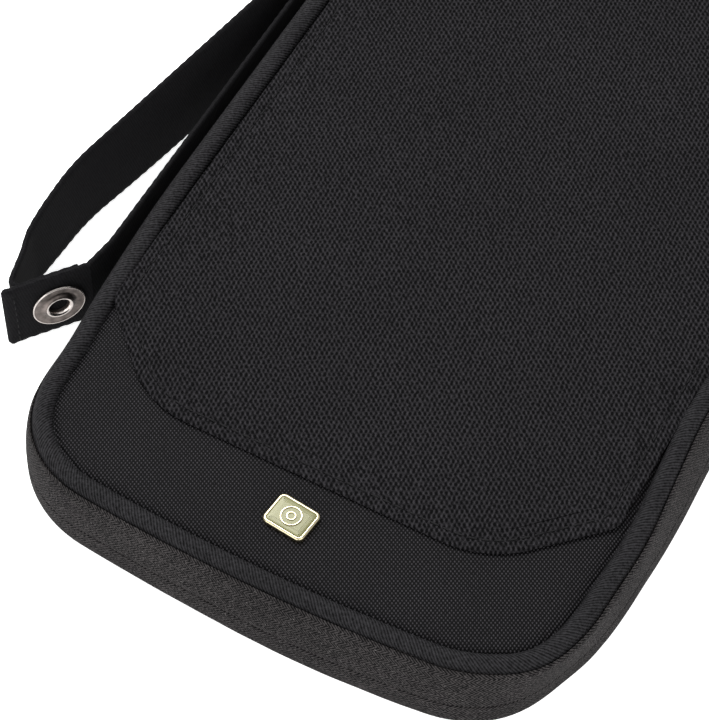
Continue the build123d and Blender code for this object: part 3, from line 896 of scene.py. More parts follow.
class WALLET_OT_zip_wall(bpy.types.Operator):
    """Adds the two halves of the zip tape, which form the wallet's wall, and the spine."""

    bl_idname = "wallet.zip_wall"
    bl_label = "Zip wall and spine"

    def execute(self, context):
        s = context.scene.wallet_sizes
        route = the_seam()
        zipped = zip_stretch(route)
        middle = (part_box("lower_zip_tape")[1].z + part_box("upper_zip_tape")[0].z) / 2
        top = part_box("front_piping_tape")[0].z
        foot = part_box("lower_zip_tape")[0].z
        pipe = top + (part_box("front_piping_tape")[1].z - top) / 2
        rise, drop, lip = pipe - middle, middle - foot, 0.04 * MM
        upper_levels = [
            (0.4, pipe - 0.7 * MM), (0.41, pipe), (0.42, pipe + 0.45 * MM), (0.46, pipe + 0.7 * MM),
            (0.53, pipe + 0.74 * MM), (0.63, pipe + 0.36 * MM), (0.74, pipe - 0.6 * MM),
            (0.82, middle + rise * 0.8), (0.9, middle + rise * 0.62), (0.96, middle + rise * 0.4),
            (0.99, middle + rise * 0.22), (1.0, middle + 1.0 * MM), (0.99, middle + 0.5 * MM),
            (0.95, middle + 0.15 * MM), (0.88, middle + lip),
        ]
        lower_levels = [
            (0.88, middle - lip), (0.95, middle - 0.15 * MM), (0.99, middle - 0.4 * MM),
            (1.0, middle - 0.8 * MM), (1.0, middle - drop * 0.25), (1.0, middle - drop * 0.5),
            (0.98, middle - drop * 0.72), (0.88, foot + 1.1 * MM), (0.68, foot + 0.4 * MM),
            (0.4, foot + 0.05 * MM), (0.1, foot),
        ]

        low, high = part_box("zip_end_stops")
        stops, long = [], 3.0 * MM
        for end in (-1, 1):
            at = Vector(((low.x + high.x) / 2, end * (high.y - long / 2), (low.z + high.z) / 2))
            at.x -= min(0.0, drawn(max(0.0, -at.y), at.z, pipe)) - 0.3 * MM
            stops.append(box_shape("zip_stop", (high.x - low.x, long, high.z - low.z), tuple(at)))
        dress(joined("zip_stops", stops), "gunmetal", "dark_zip_metal", "back_cover", ["zip_end_stops"])

        for name, levels, body in (
            ("upper_zip_tape", upper_levels, "front_cover"),
            ("lower_zip_tape", lower_levels, "back_cover"),
        ):
            profile = wall_profile(s.wall_bulge, levels)

            def section(k):
                point, normal, run = zipped[k]
                wave = gentle(point.x, point.y, 3, 38, 0.16 * MM)
                wave += gentle(point.x, point.y, 9, 130, 0.08 * MM)
                return [(out + wave + drawn(run, height, pipe), height) for out, height in profile]

            wall = loft(f"{name}_cloth", zipped, section, closed_route=False)
            dress(wall, "zip_tape", "zip_tape", body, [name])

        spine_levels = [
            (0.1, pipe + 0.1 * MM), (0.3, pipe + 0.5 * MM), (0.45, pipe + 0.3 * MM), (0.62, pipe - 0.6 * MM),
            (0.72, top - 0.7 * MM), (0.8, top - 3.2 * MM),
            (0.84, middle + 2.6 * MM), (0.95, middle - 0.6 * MM), (1.0, middle - 3.6 * MM),
            (0.94, foot + 1.8 * MM), (0.7, foot + 0.5 * MM), (0.3, foot),
        ]
        spine_route = spine_stretch(route)
        profile = wall_profile(s.wall_bulge * 0.93, spine_levels)

        def layer(name, line, shape, finish_name, slot, nodes):
            def section(k):
                run = max(0.0, -line[k][0].y)
                return [(out + drawn(run, height, pipe), height) for out, height in shape]

            dress(loft(name, line, section, closed_route=False), finish_name, slot, "back_cover", nodes)

        layer("spine_cloth", spine_route, profile, "spine_nylon", "ballistic_nylon", ["spine_panel"])
        seam_x = seam_half_sizes()[0]
        tucked = 0.9 * MM  # behind the spine's outer cloth
        for node, finish_name, slot in (
            ("spine_board", "board", "stiff_board"), ("spine_lining", "lining", "lining"),
        ):
            low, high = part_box(node)
            line = with_runs([(p, n) for p, n, run in spine_route if abs(p.y) <= high.y])
            heights = [low.z + (high.z - low.z) * k / 6 for k in range(7)]
            shape = [(-low.x - seam_x - tucked, height) for height in heights]
            shape += [(-high.x - seam_x - tucked, height) for height in reversed(heights)]
            layer(f"{node}_sheet", line, shape, finish_name, slot, [node])
        return {"FINISHED"}


def rounded_route(corners, radii, step=1.6 * MM):
    """A closed polygon, anticlockwise, with arcs at its corners: (point, normal, run)."""
    points = []
    count = len(corners)
    for k in range(count):
        before, here, after = (Vector(corners[(k + d) % count]) for d in (-1, 0, 1))
        a, b = (before - here).normalized(), (after - here).normalized()
        half = a.angle(b) / 2
        cut = radii[k] / math.tan(half)
        centre = here + (a + b).normalized() * radii[k] / math.sin(half)
        start = math.atan2(*reversed((here + a * cut - centre)))
        turn = math.pi - 2 * half
        arc_steps = max(4, round(radii[k] * turn / (step * 0.5)))
        for j in range(arc_steps + 1):
            angle = start + turn * j / arc_steps
            normal = Vector((math.cos(angle), math.sin(angle)))
            points.append((centre + normal * radii[k], normal))
        nxt = Vector(corners[(k + 1) % count])
        after_next = Vector(corners[(k + 2) % count])
        c, d = (here - nxt).normalized(), (after_next - nxt).normalized()
        next_cut = radii[(k + 1) % count] / math.tan(c.angle(d) / 2)
        line_start, line_end = here + b * cut, nxt + c * next_cut
        normal = Vector((b.y, -b.x))
        line_steps = max(1, round((line_end - line_start).length / step))
        points += [(line_start.lerp(line_end, j / line_steps), normal) for j in range(1, line_steps)]
    return with_runs(points)


class WALLET_OT_mesh_panel(bpy.types.Operator):
    """Adds the raised mesh panel with its turned hem and stitches."""

    bl_idname = "wallet.mesh_panel"
    bl_label = "Mesh panel"

    def execute(self, context):
        s = context.scene.wallet_sizes
        half_wide, half_long = seam_half_sizes()
        side_inset = 4.5 * MM
        x = half_wide - side_inset
        y = half_long - s.mesh_end_inset
        cut = s.mesh_chamfer
        corners = [
            (x, -y + cut), (x, y - cut), (x - cut, y), (-x + cut, y),
            (-x, y - cut), (-x, -y + cut), (-x + cut, -y), (x - cut, -y),
        ]
        side, end = 5.8 * MM, 24.5 * MM  # radii where the cut corners meet the sides and the ends
        route = rounded_route(corners, [side, side, end, end] * 2)
        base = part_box("mesh_panel_hem")[0].z
        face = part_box("mesh_panel")[1].z
        hem = s.hem_stitch
        crown = s.panel_crown

        def top(px, py):
            edge = min(1.0, (x - abs(px)) / (28 * MM), (y - abs(py)) / (28 * MM))
            return face + crown * edge + gentle(px, py, 5, 30, 0.1 * MM)

        foot = ((1.4, -0.1), (0.85, 0.0), (0.3, 0.4), (0.0, 0.75))
        brow = ((0.05, -0.4), (0.4, -0.12), (1.0, 0.0))
        seam = ((-0.8, 0.0), (-0.25, -0.2), (0.0, -0.26), (0.3, -0.18), (1.0, 0.02))
        steps = [(inset, base + height) for inset, height in in_mm(foot)]
        steps += [(inset, face + height) for inset, height in in_mm(brow)]
        steps += [(hem + inset, face + height) for inset, height in in_mm(seam)]
        steps.append((5.6 * MM, face + 0.05 * MM))
        panel = pad("mesh_panel_cloth", route, steps, top)
        dress(panel, "knit_mesh", "knit_mesh", "front_cover", ["mesh_panel", "mesh_panel_hem"])
        line = [Vector((*(p - n * hem), face - 0.12 * MM)) for p, n, run in route]
        line.append(line[0])
        stitches("mesh_hem_stitches", line, "front_cover", "bias_tape", 2.0 * MM, 0.8 * MM, 0.2 * MM)
        return {"FINISHED"}


class WALLET_OT_badge(bpy.types.Operator):
    """Adds the small gold badge with two plain raised rings on its face."""

    bl_idname = "wallet.badge"
    bl_label = "Badge"

    def execute(self, context):
        low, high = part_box("badge_frame")
        middle = (low + high) / 2
        turn, larger = math.radians(-6.0), 1.06
        spread = math.cos(turn) ** 2 - math.sin(turn) ** 2
        wide = ((high.x - low.x) * math.cos(turn) + (high.y - low.y) * math.sin(turn)) / spread
        deep = ((high.y - low.y) * math.cos(turn) + (high.x - low.x) * math.sin(turn)) / spread
        thick = high.z - low.z
        half = Vector((wide / 2, deep / 2, 0)) * larger
        edge = rectangle_route(-half, half, 1.5 * MM, step=0.5 * MM)
        rim = (
            (0.2, 0.0), (0.0, 0.1), (0.0, 0.9), (0.1, 1.18), (0.3, 1.34), (0.5, 1.4), (0.62, 1.38),
            (0.72, 1.25),
        )
        frame_piece = pad("badge_body", edge, in_mm(rim), lambda x, y: 1.22 * MM, 1.5 * MM)
        brim = ((0.8, 1.0), (0.72, 1.22), (0.8, 1.3), (0.95, 1.34), (1.3, 1.37), (1.9, 1.4))

        def dome(x, y):
            return thick + 0.08 * MM * (1 - (x / wide * 2) ** 2) * (1 - (y / deep * 2) ** 2)

        face = pad("badge_face", edge, in_mm(brim), dome, 0.8 * MM)
        ring = ((0.0, 0.0), (0.0, 0.2), (-0.18, 0.28), (-0.36, 0.2), (-0.36, 0.0), (0.0, 0.0))
        marks = []
        for reach in (2.4, 1.1):
            profile = [((reach + out) * MM, thick + height * MM) for out, height in ring]
            marks.append(spun("badge_mark", profile, 40))
        mark = joined("badge_mark", marks)
        at = (middle.x, middle.y, low.z)
        x_dir = (math.cos(turn), math.sin(turn), 0)
        for obj in (frame_piece, face, mark):
            settle(obj, x_dir, (0, 0, 1), at)
        dress(frame_piece, "pale_gold", "pale_gold", "front_cover", ["badge_frame"], smooth=35)
        dress(face, "badge_enamel", "badge_enamel", "front_cover", ["badge_inlay"], smooth=35)
        dress(mark, "pale_gold", "pale_gold", "front_cover")
        return {"FINISHED"}


def bent_route(points, radii, step=0.75 * MM):
    """An open line with an arc at each bend: (point, normal to its right, run)."""
    corners = [Vector(p) for p in points]
    route, start = [], corners[0]

    def straight(a, b, last=False):
        along = (b - a).normalized()
        count = max(1, round((b - a).length / step))
        normal = Vector((along.y, -along.x))
        route.extend((a.lerp(b, k / count), normal) for k in range(count + (1 if last else 0)))

    for k, radius in enumerate(radii, 1):
        a, b = (corners[k - 1] - corners[k]).normalized(), (corners[k + 1] - corners[k]).normalized()
        half = a.angle(b) / 2
        cut = radius / math.tan(half)
        centre = corners[k] + (a + b).normalized() * radius / math.sin(half)
        begin, end = corners[k] + a * cut, corners[k] + b * cut
        straight(start, begin)
        turn = math.pi - 2 * half
        way = 1 if (-a).x * b.y - (-a).y * b.x > 0 else -1
        count = max(4, round(radius * turn / step))
        for j in range(count):
            spoke = (begin - centre).copy()
            spoke.rotate(Matrix.Rotation(way * turn * j / count, 2))
            route.append((centre + spoke, spoke.normalized() * way))
        start = end
    straight(start, corners[-1], last=True)
    return with_runs(route)


def webbing_section(run, low, high, thick, lean=0.0, cup=0.0, scallop=0.28 * MM):
    """Across a strap that stands on edge: round selvedges whose line dips at every pick."""
    dip = scallop * (0.5 + 0.5 * math.cos(TURN * run / (2.6 * MM)))
    top, foot = high - dip, low + dip
    half = thick / 2
    levels = [0.0, 0.02, 0.07, 0.12, 0.3, 0.5, 0.7, 0.88, 0.93, 0.98, 1.0]
    swell = [0.35, 0.85, 1.0, 0.86, 1.0, 1.0, 1.0, 0.86, 1.0, 0.85, 0.35]

    def shift(level):
        return lean * (1 - level) - cup * math.sin(math.pi * level)

    right = [(half * w + shift(v), foot + (top - foot) * v) for v, w in zip(levels, swell)]
    left = [(-half * w + shift(v), foot + (top - foot) * v) for v, w in zip(levels, swell)]
    return right + left[::-1]


class WALLET_OT_strap(bpy.types.Operator):
    """Adds the wrist strap: its anchor, the two runs of its loop and the press-stud tab."""

    bl_idname = "wallet.strap"
    bl_label = "Wrist strap"

    def execute(self, context):
        s = context.scene.wallet_sizes
        thick = s.webbing_thickness
        hinge = joint_at("snap_tab_peel")
        low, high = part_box("strap_outer_run")
        foot, top = low.z + 0.2 * MM, high.z
        inner_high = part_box("strap_inner_run")[1]
        hinge_at = hinge.xy
        along = TAB_WAY
        behind = Vector((along.y, -along.x))
        if behind.x > 0:
            behind = -behind
        lap = 2.6 * MM  # from the tab's middle back to the outer run's
        tab_long = 20.4 * MM

        inner = bent_route(
            [(inner_high.x - 0.75 * MM, inner_high.y), (inner_high.x - 1.0 * MM, hinge.y + 8 * MM),
             tuple(hinge_at + along * 0.1 * MM)], [18 * MM])
        obj = loft("strap_inner", inner, lambda k: webbing_section(inner[k][2], foot, top, thick), False)
        dress(obj, "webbing", "webbing", "strap", ["strap_inner_run"])

        far = low.x + 0.75 * MM
        start = (inner_high.x - 2.6 * MM, inner_high.y)
        fold = hinge_at + along * 18.5 * MM + behind * lap
        points = [
            start, (start[0] - 5.6 * MM, 21.6 * MM), (far, hinge.y + 22 * MM),
            (far + 0.7 * MM, hinge.y + 2 * MM), tuple(fold),
            tuple(hinge_at + along * 1.8 * MM + behind * lap),
        ]
        outer = bent_route(points, [120 * MM, 60 * MM, 16 * MM, 1.6 * MM])
        loose_end = next(run for point, normal, run in outer if point.y < hinge.y - 2 * MM)

        most_lean, most_sunk, most_cup = -3.4 * MM, 3.0 * MM, 0.25 * MM
        sinking = 14 * MM  # how long the run takes to sink behind the tab

        def outer_section(k):
            run = outer[k][2]
            share = min(run / loose_end, 1.0)
            lean = most_lean * math.sin(math.pi * share) ** 0.8 if share < 1 else 0.0
            sunk = most_sunk * min(1.0, max(0.0, (run - loose_end + sinking) / sinking)) ** 2
            cup = most_cup * math.sin(math.pi * share)
            return webbing_section(run, foot, top - sunk, thick, lean=lean, cup=cup)

        obj = loft("strap_outer", outer, outer_section, False)
        dress(obj, "webbing", "webbing", "strap", ["strap_outer_run"])

        end = hinge_at + along * tab_long
        tab = bent_route([tuple(hinge_at - along * 0.1 * MM), tuple(end)], [], 0.5 * MM)
        long = tab[-1][2]
        hem, hem_step, tip_long = 3.4 * MM, 0.6 * MM, 0.8 * MM

        def tab_section(k):
            run = tab[k][2]
            folded = min(1.0, max(0.0, (run - long + hem) / hem_step))
            tip = min(1.0, (long - run) / tip_long)
            width = thick * (1 + 0.3 * folded) * (0.45 + 0.55 * math.sqrt(max(tip, 0.0)))
            drop = 0.7 * MM * (1 - tip) ** 2
            return webbing_section(run, foot + drop, top - drop * 0.6, width)

        obj = loft("strap_tab_cloth", tab, tab_section, False)
        dress(obj, "webbing", "webbing", "snap_tab", ["strap_tab"])
        front = -behind
        edge_at = hinge_at + along * (long - 2.6 * MM) + front * (thick * 0.63)
        line = self.upright(edge_at, foot + 1.2 * MM, top - 1.2 * MM)
        stitches("strap_tab_stitches", line, "snap_tab", "webbing", 1.6 * MM, 0.7 * MM, 0.17 * MM)

        a_low, a_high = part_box("strap_anchor")
        anchor = bent_route([(a_high.x - 0.8 * MM, a_high.y), (a_low.x + 1.6 * MM, a_low.y)], [])

        def anchor_section(k):
            share = anchor[k][2] / anchor[-1][2]
            return webbing_section(anchor[k][2], foot, top, 1.5 * MM + 1.6 * MM * share)

        obj = loft("strap_anchor_cloth", anchor, anchor_section, False)
        dress(obj, "webbing", "webbing", "back_cover", ["strap_anchor"])
        for share in (0.2, 0.8):
            x = a_high.x - 1.6 * MM - 3.0 * MM * (1 - share)
            y = a_low.y + (a_high.y - a_low.y) * share
            line = self.upright((x, y), foot + 2 * MM, top - 2 * MM)
            name = f"anchor_stitches_{round(share * 10)}"
            stitches(name, line, "back_cover", "webbing", 1.8 * MM, 0.8 * MM)
        return {"FINISHED"}

    @staticmethod
    def upright(at, low, high, count=30):
        """A line of points straight up at a place."""
        return [Vector((*at, low + (high - low) * k / (count - 1))) for k in range(count)]


class WALLET_OT_press_stud(bpy.types.Operator):
    """Adds the four turned parts of the press stud."""

    bl_idname = "wallet.press_stud"
    bl_label = "Press stud"

    def execute(self, context):
        along = Vector((*TAB_WAY, 0))
        out = Vector((-along.y, along.x, 0))
        centre = joint_at("snap_tab_peel") + along * 8.2 * MM

        def turned(node, body, finish_name, profile):
            obj = spun(f"{node}_metal", in_mm(profile))
            settle(obj, along, out, centre)
            return dress(obj, finish_name, "aged_nickel", body, [node], smooth=HARD_EDGE)

        ring = turned("snap_ring", "snap_tab", "aged_nickel", [
            (2.3, -0.7), (2.3, 1.35), (2.5, 1.8), (2.8, 2.0), (3.1, 2.03), (3.35, 1.93), (3.6, 1.62),
            (3.85, 1.42), (4.1, 1.36), (4.3, 1.3), (4.5, 1.36), (5.1, 1.37), (5.6, 1.38), (5.85, 1.5),
            (6.08, 1.46), (6.2, 1.25), (6.15, 0.95), (5.9, 0.72), (2.95, 0.7), (2.95, -0.7), (2.3, -0.7),
        ])
        # The ring's outer rim and raised inner lip take the lighter nickel: a painted highlight where light
        # catches the rims.
        ring.data.materials.append(finish("nickel_highlight"))
        highlight_rim, highlight_lip = 5.78 * MM, 3.15 * MM
        for face in ring.data.polygons:
            reach = face.center - centre
            height = reach.dot(out)
            radius = (reach - out * height).length
            if radius > highlight_rim or radius < highlight_lip and height > 0.9 * MM:
                face.material_index = 1
        turned("snap_socket", "snap_tab", "gunmetal", [
            (2.1, -0.7), (5.2, -0.7), (5.2, -1.0), (5.0, -1.2), (2.3, -1.2), (2.1, -1.0), (2.1, -0.7),
        ])
        lap = -2.6  # the middle of the strap's outer run, behind the tab
        stud = (
            (0, -0.7), (1.2, -0.7), (1.2, 0.7), (4.6, 0.7), (4.6, 0.95), (4.4, 1.1), (1.9, 1.1), (1.6, 1.35),
            (1.7, 1.9), (1.55, 2.2), (1.1, 2.3), (0, 2.32),
        )
        cap = ((0, -0.7), (5.5, -0.7), (5.5, -0.9), (5.3, -1.15), (4.6, -1.45), (3.0, -1.65), (0, -1.7))
        for node, profile in (("snap_stud", stud), ("snap_cap", cap)):
            turned(node, "strap", "aged_nickel", [(radius, lap + height) for radius, height in profile])
        return {"FINISHED"}


class WALLET_OT_sliders(bpy.types.Operator):
    """Adds the two sliders of the main zip with their pulls, and the small one inside."""

    bl_idname = "wallet.sliders"
    bl_label = "Zip sliders"

    def execute(self, context):
        tape_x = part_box("lower_zip_tape")[1].x
        for name, way in (("lower", -1), ("upper", 1)):
            low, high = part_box(f"{name}_slider")
            middle = (low + high) / 2
            place = ((0, way, 0), (1, 0, 0), (tape_x, middle.y, middle.z))
            long, wide, thick = high.y - low.y, high.z - low.z, 1.1 * MM
            outer = self.shield("outer", (long, wide, thick), 0.85 * MM)
            inner = self.shield("inner", (long, wide, thick), -2.75 * MM)
            rails = []
            for side in (-1, 1):
                rail = (long - 3.6 * MM, 0.9 * MM, 1.3 * MM)
                at = (0.2 * MM, side * (wide / 2 - 0.5 * MM), -1.6 * MM)
                rails.append(plate("rail", rail, at, 0.3 * MM, segments=2))
            post_size, post_at = (3.2 * MM, 0.7 * MM, 2.9 * MM), (-3.1 * MM, 0, -0.95 * MM)
            post = plate("post", post_size, post_at, 0.3 * MM, segments=3)
            crown = self.crown(6.0 * MM, 1.5 * MM, 1.4 * MM, 2.4 * MM)
            body = joined(f"{name}_slider_metal", [outer, inner, *rails, post, crown])
            self.fit(body, place, "gunmetal", "dark_zip_metal", f"{name}_slider", f"{name}_slider")
            hinge = 2.15 * MM  # the pull's axis, out from the tape
            tab = self.pull(f"{name}_pull_metal", hinge, 15.0 * MM, 4.6 * MM, 1.0 * MM, 2.2 * MM, 4.2 * MM)
            self.fit(tab, place, "gunmetal", "dark_zip_metal", f"{name}_pull", f"{name}_pull_tab")
            grip_size = (20 * MM, 7 * MM, 2.4 * MM)
            grip = plate(f"{name}_grip", grip_size, (17.5 * MM, 0, hinge), 2.4 * MM, 0.7 * MM)
            outermost = 1.19 * MM
            for side in (-1, 1):
                pick(grip, "FACE", lambda ends: all(side * (p.z - hinge) > outermost for p in ends))
                bpy.ops.mesh.inset(thickness=0.9 * MM, depth=0)
                bpy.ops.mesh.inset(thickness=0.25 * MM, depth=-0.25 * MM)
                leave_edit()
            self.fit(grip, place, "pull_rubber", "pull_rubber", f"{name}_pull", f"{name}_pull_grip")
        self.coin_slider()
        return {"FINISHED"}

    def coin_slider(self):
        low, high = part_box("coin_slider")
        middle = (low + high) / 2
        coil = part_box("coin_zip_coil")[0].z
        place = ((1, 0, 0), (0, 0, -1), (middle.x, middle.y, coil - 0.3 * MM))
        body = self.shield("coin", (high.x - low.x, high.y - low.y, 1.0 * MM), 0.5 * MM)
        rails = []
        for side in (-1, 1):
            at = (0, side * ((high.y - low.y) / 2 - 0.42 * MM), -0.44 * MM)
            rails.append(plate("rail", (5.6 * MM, 0.8 * MM, 0.9 * MM), at, 0.25 * MM, segments=2))
        crown = self.crown(5.0 * MM, 1.3 * MM, 1.0 * MM, 2.4 * MM)
        body = joined("coin_slider_metal", [body, *rails, crown])
        self.fit(body, place, "gunmetal", "dark_zip_metal", "coin_slider", "coin_slider")
        tab = self.pull("coin_pull_metal", 1.75 * MM, 7.0 * MM, 3.4 * MM, 1.0 * MM, 2.0 * MM, 3.7 * MM)
        self.fit(tab, place, "gunmetal", "dark_zip_metal", "coin_pull", "coin_pull")

    @staticmethod
    def fit(obj, place, finish_name, slot, body, node):
        """Moves a piece to (x way, z way, middle) and dresses it."""
        dress(settle(obj, *place), finish_name, slot, body, [node], smooth=HARD_EDGE)

    @staticmethod
    def shield(name, dims, level):
        """A slider's plate, which narrows a little towards its tail."""
        obj, narrower = plate(name, dims, (0, 0, level), 1.7 * MM, 0.28 * MM), 0.16
        for vertex in obj.data.vertices:
            if vertex.co.x > 0:
                vertex.co.y *= 1 - narrower * vertex.co.x / (dims[0] / 2)
        return obj

    @staticmethod
    def crown(long, wide, foot, height):
        """The arch that holds the pull."""
        bar, leg, round_by = 0.9 * MM, 1.0 * MM, 0.8 * MM
        half, clear, top = long / 2, foot + height - bar, foot + height
        root, ease = foot - 0.2 * MM, 0.25 * MM
        left = [(-half, root), (-half, top - round_by), (-half + ease, top - ease), (-half + round_by, top)]
        right = [(-x, z) for x, z in reversed(left)]
        clearing = [(half - leg, root), (half - leg, clear), (-half + leg, clear), (-half + leg, root)]
        outline = left + right + clearing
        return prism("crown", outline, wide, 0.12 * MM)

    @staticmethod
    def pull(name, level, long, wide, thick, eye_wide, eye_end):
        """A flat pull with an eye round the crown and a round bar through it."""
        leg = (wide - eye_wide) / 2
        parts = [rod("bar", 0.5 * MM, wide - 0.1 * MM, (0, 0, level))]
        for side in (-1, 1):
            at = (eye_end / 2, side * (wide - leg) / 2, level)
            parts.append(plate("leg", (eye_end + 0.4 * MM, leg, thick), at, 0.2 * MM, 0.1 * MM, 2))
        rest = long - eye_end
        parts.append(plate("tab", (rest, wide, thick), (eye_end + rest / 2, 0, level), 0.8 * MM, 0.2 * MM))
        return joined(name, parts)


class WALLET_OT_coils(bpy.types.Operator):
    """Adds the teeth of the main zip's two halves and of the coin pocket's zip."""

    bl_idname = "wallet.coils"
    bl_label = "Zip coils"

    def execute(self, context):
        pitch = context.scene.wallet_sizes.tooth_pitch
        zipped = drawn_in(zip_stretch(the_seam()), WALL_SPOTS)
        over = 0.35 * MM  # how far each half's teeth reach past the zip's middle
        low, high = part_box("lower_zip_coil")
        self.coil("lower_zip_coil", "lower_coil_teeth", "back_cover",
                  *self.teeth(zipped, pitch, low.z, high.z + over, 0.0))
        low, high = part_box("upper_zip_coil")
        self.coil("upper_zip_coil", "upper_coil_teeth", "front_cover",
                  *self.teeth(zipped, pitch, high.z, low.z - over, pitch / 2))
        low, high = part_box("coin_zip_coil")
        middle = (low.y + high.y) / 2
        pitch = 0.55 * MM
        outline = ((-0.5, 0.0), (-0.5, 0.35), (0.3, 0.9), (1.9, 0.85), (1.95, 0.1), (1.0, 0.0))
        around = len(outline)
        verts, faces = [], []
        for k in range(int((high.x - low.x - 1 * MM) / pitch)):
            at = low.x + 0.5 * MM + k * pitch
            side = 1 if k % 2 else -1
            base = len(verts)
            verts += [(at + x * MM, middle + side * y * MM, high.z - z * MM)
                      for x in (-0.2, 0.2) for y, z in outline]
            faces += [tuple(range(base, base + around)), tuple(range(base + around, base + 2 * around))]
            faces += quads(base, 2, around)
        self.coil("coin_zip_coil", "coin_coil_teeth", "front_cover", verts, faces)
        return {"FINISHED"}

    @staticmethod
    def coil(node, name, body, verts, faces):
        obj = piece(name, verts, faces)
        outwards(obj)
        dress(obj, "zip_coil", "zip_coil", body, [node])

    @staticmethod
    def teeth(route, pitch, root, tip, start):
        """Teeth from root to tip in height, standing on the inner face of the wall."""
        shape = (  # (share of the height, half the width, inner and outer depth)
            (0.0, 0.3, 0.75, 1.55), (0.7, 0.3, 0.55, 1.6), (0.85, 0.42, 0.5, 1.62), (1.0, 0.25, 0.75, 1.4),
        )
        verts, faces = [], []
        k, total = 0, route[-1][2]
        along = route[0][2] + start + pitch / 2
        while along < total and k < len(route) - 1:
            while k < len(route) - 2 and route[k + 1][2] < along:
                k += 1
            (a, na, ra), (b, nb, rb) = route[k], route[k + 1]
            share = (along - ra) / max(rb - ra, 1e-9)
            point, normal = a.lerp(b, share), na.lerp(nb, share).normalized()
            tangent = Vector((-normal.y, normal.x))
            base = len(verts)
            for height, half, inner, outer in shape:
                z = root + (tip - root) * height
                for t, out in ((-half, inner), (half, inner), (half, outer), (-half, outer)):
                    verts.append((*(point + normal * out * MM + tangent * t * MM), z))
            faces += quads(base, len(shape), 4)
            faces += [tuple(range(base, base + 4)), tuple(range(base + 12, base + 16))]
            along += pitch
        return verts, faces


def rectangle_route(low, high, corner, step=3.0 * MM):
    """A rectangle with round corners, anticlockwise."""
    corners = [(high.x, low.y), (high.x, high.y), (low.x, high.y), (low.x, low.y)]
    return rounded_route(corners, [corner] * 4, step)


class WALLET_OT_inside(bpy.types.Operator):
    """Adds the lining, the pockets and their bound edges."""

    bl_idname = "wallet.inside"
    bl_label = "Lining and pockets"

    def execute(self, context):
        route = the_seam()
        for side, up in (("back", 1), ("front", -1)):
            low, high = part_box(f"{side}_lining")
            base, face = back_and_face(low, high, up)
            inset = seam_half_sizes()[0] - high.x
            steps = [(inset + 1 * MM, base), (inset, base), (inset - 0.05 * MM, (base + face) / 2),
                     (inset + 0.3 * MM, face), (inset + 4 * MM, face)]
            cloth = pad(f"{side}_lining_cloth", route, steps, lambda x, y: face)
            dress(cloth, "lining", "lining", f"{side}_cover", [f"{side}_lining"])
        tiers = [f"card_pocket_{tier}" for tier in range(1, 5)]
        for node in ("passport_pocket", *tiers):
            self.pocket(node, 1, "back_cover")
        for node in ("ticket_pocket", "coin_pocket", "coin_zip_tape"):
            self.pocket(node, -1, "front_cover")
        self.binding("passport_pocket_binding", [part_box("passport_pocket_binding")], 1, "back_cover")
        self.binding("ticket_pocket_binding", [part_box("ticket_pocket_binding")], -1, "front_cover")
        strips = []
        for node in tiers:
            pocket_low, pocket_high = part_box(node)
            strip_low = Vector((pocket_low.x, pocket_high.y - 4 * MM, pocket_high.z))
            strip_high = Vector((pocket_high.x, pocket_high.y, pocket_high.z + 0.5 * MM))
            strips.append((strip_low, strip_high))
        self.binding("card_pocket_bindings", strips, 1, "back_cover")
        return {"FINISHED"}

    def pocket(self, node, up, body):
        low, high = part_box(node)
        base, face = back_and_face(low, high, up)
        route = rectangle_route(low, high, 2.0 * MM)
        lift = (face - base) * 0.12

        def top(x, y):
            edge = min(x - low.x, high.x - x, y - low.y) / (12 * MM)
            fall = lift * (1 - min(1.0, max(0.0, edge)))
            return face - up * fall - up * abs(gentle(x, y, 7, 45, 0.05 * MM))

        brow = face - up * lift
        steps = [(0.8 * MM, base), (0.0, base), (0.0, base + (face - base) * 0.7)]
        steps += [(inset * MM, brow) for inset in (0.25, 2.0, 3.2)]
        cloth = pad(f"{node}_cloth", route, steps, top)
        tape = node == "coin_zip_tape"
        name, slot = ("zip_tape_flat", "zip_tape") if tape else ("lining", "lining")
        dress(cloth, name, slot, body, [node])
        if not tape:
            line_z = face - up * lift * 0.7
            inset = 1.6 * MM
            line = [Vector((x, y, line_z)) for x, y in (
                (low.x + inset, high.y - 5 * MM), (low.x + inset, low.y + inset),
                (high.x - inset, low.y + inset), (high.x - inset, high.y - 5 * MM))]
            stitches(f"{node}_stitches", line, body, "lining", 2.2 * MM, 0.9 * MM, 0.16 * MM)

    def binding(self, node, strips, up, body):
        parts = []
        for low, high in strips:
            base, face = back_and_face(low, high, up)
            route = rectangle_route(low, high, 0.5 * MM)
            steps = [(0.6 * MM, base), (0.0, base), (0.0, base + (face - base) * 0.6),
                     (0.25 * MM, face), (1.0 * MM, face)]
            parts.append(pad(node, route, steps, lambda x, y, face=face: face))
        cloth = joined(f"{node}_ribbon", parts)
        dress(cloth, "edge_ribbon", "edge_ribbon", body, [node])


class WALLET_OT_core(bpy.types.Operator):
    """Gives the parts inside the covers their finishes."""

    bl_idname = "wallet.core"
    bl_label = "Foam and board"

    def execute(self, context):
        for node, name in (
            ("front_foam", "padding"), ("back_foam", "padding"), ("mesh_panel_pad", "padding"),
            ("front_board", "board"), ("back_board", "board"),
            ("badge_washer", "gunmetal"),
        ):
            obj = frame["nodes"][node]
            obj.data.materials.clear()
            obj.data.materials.append(finish(name))
        return {"FINISHED"}


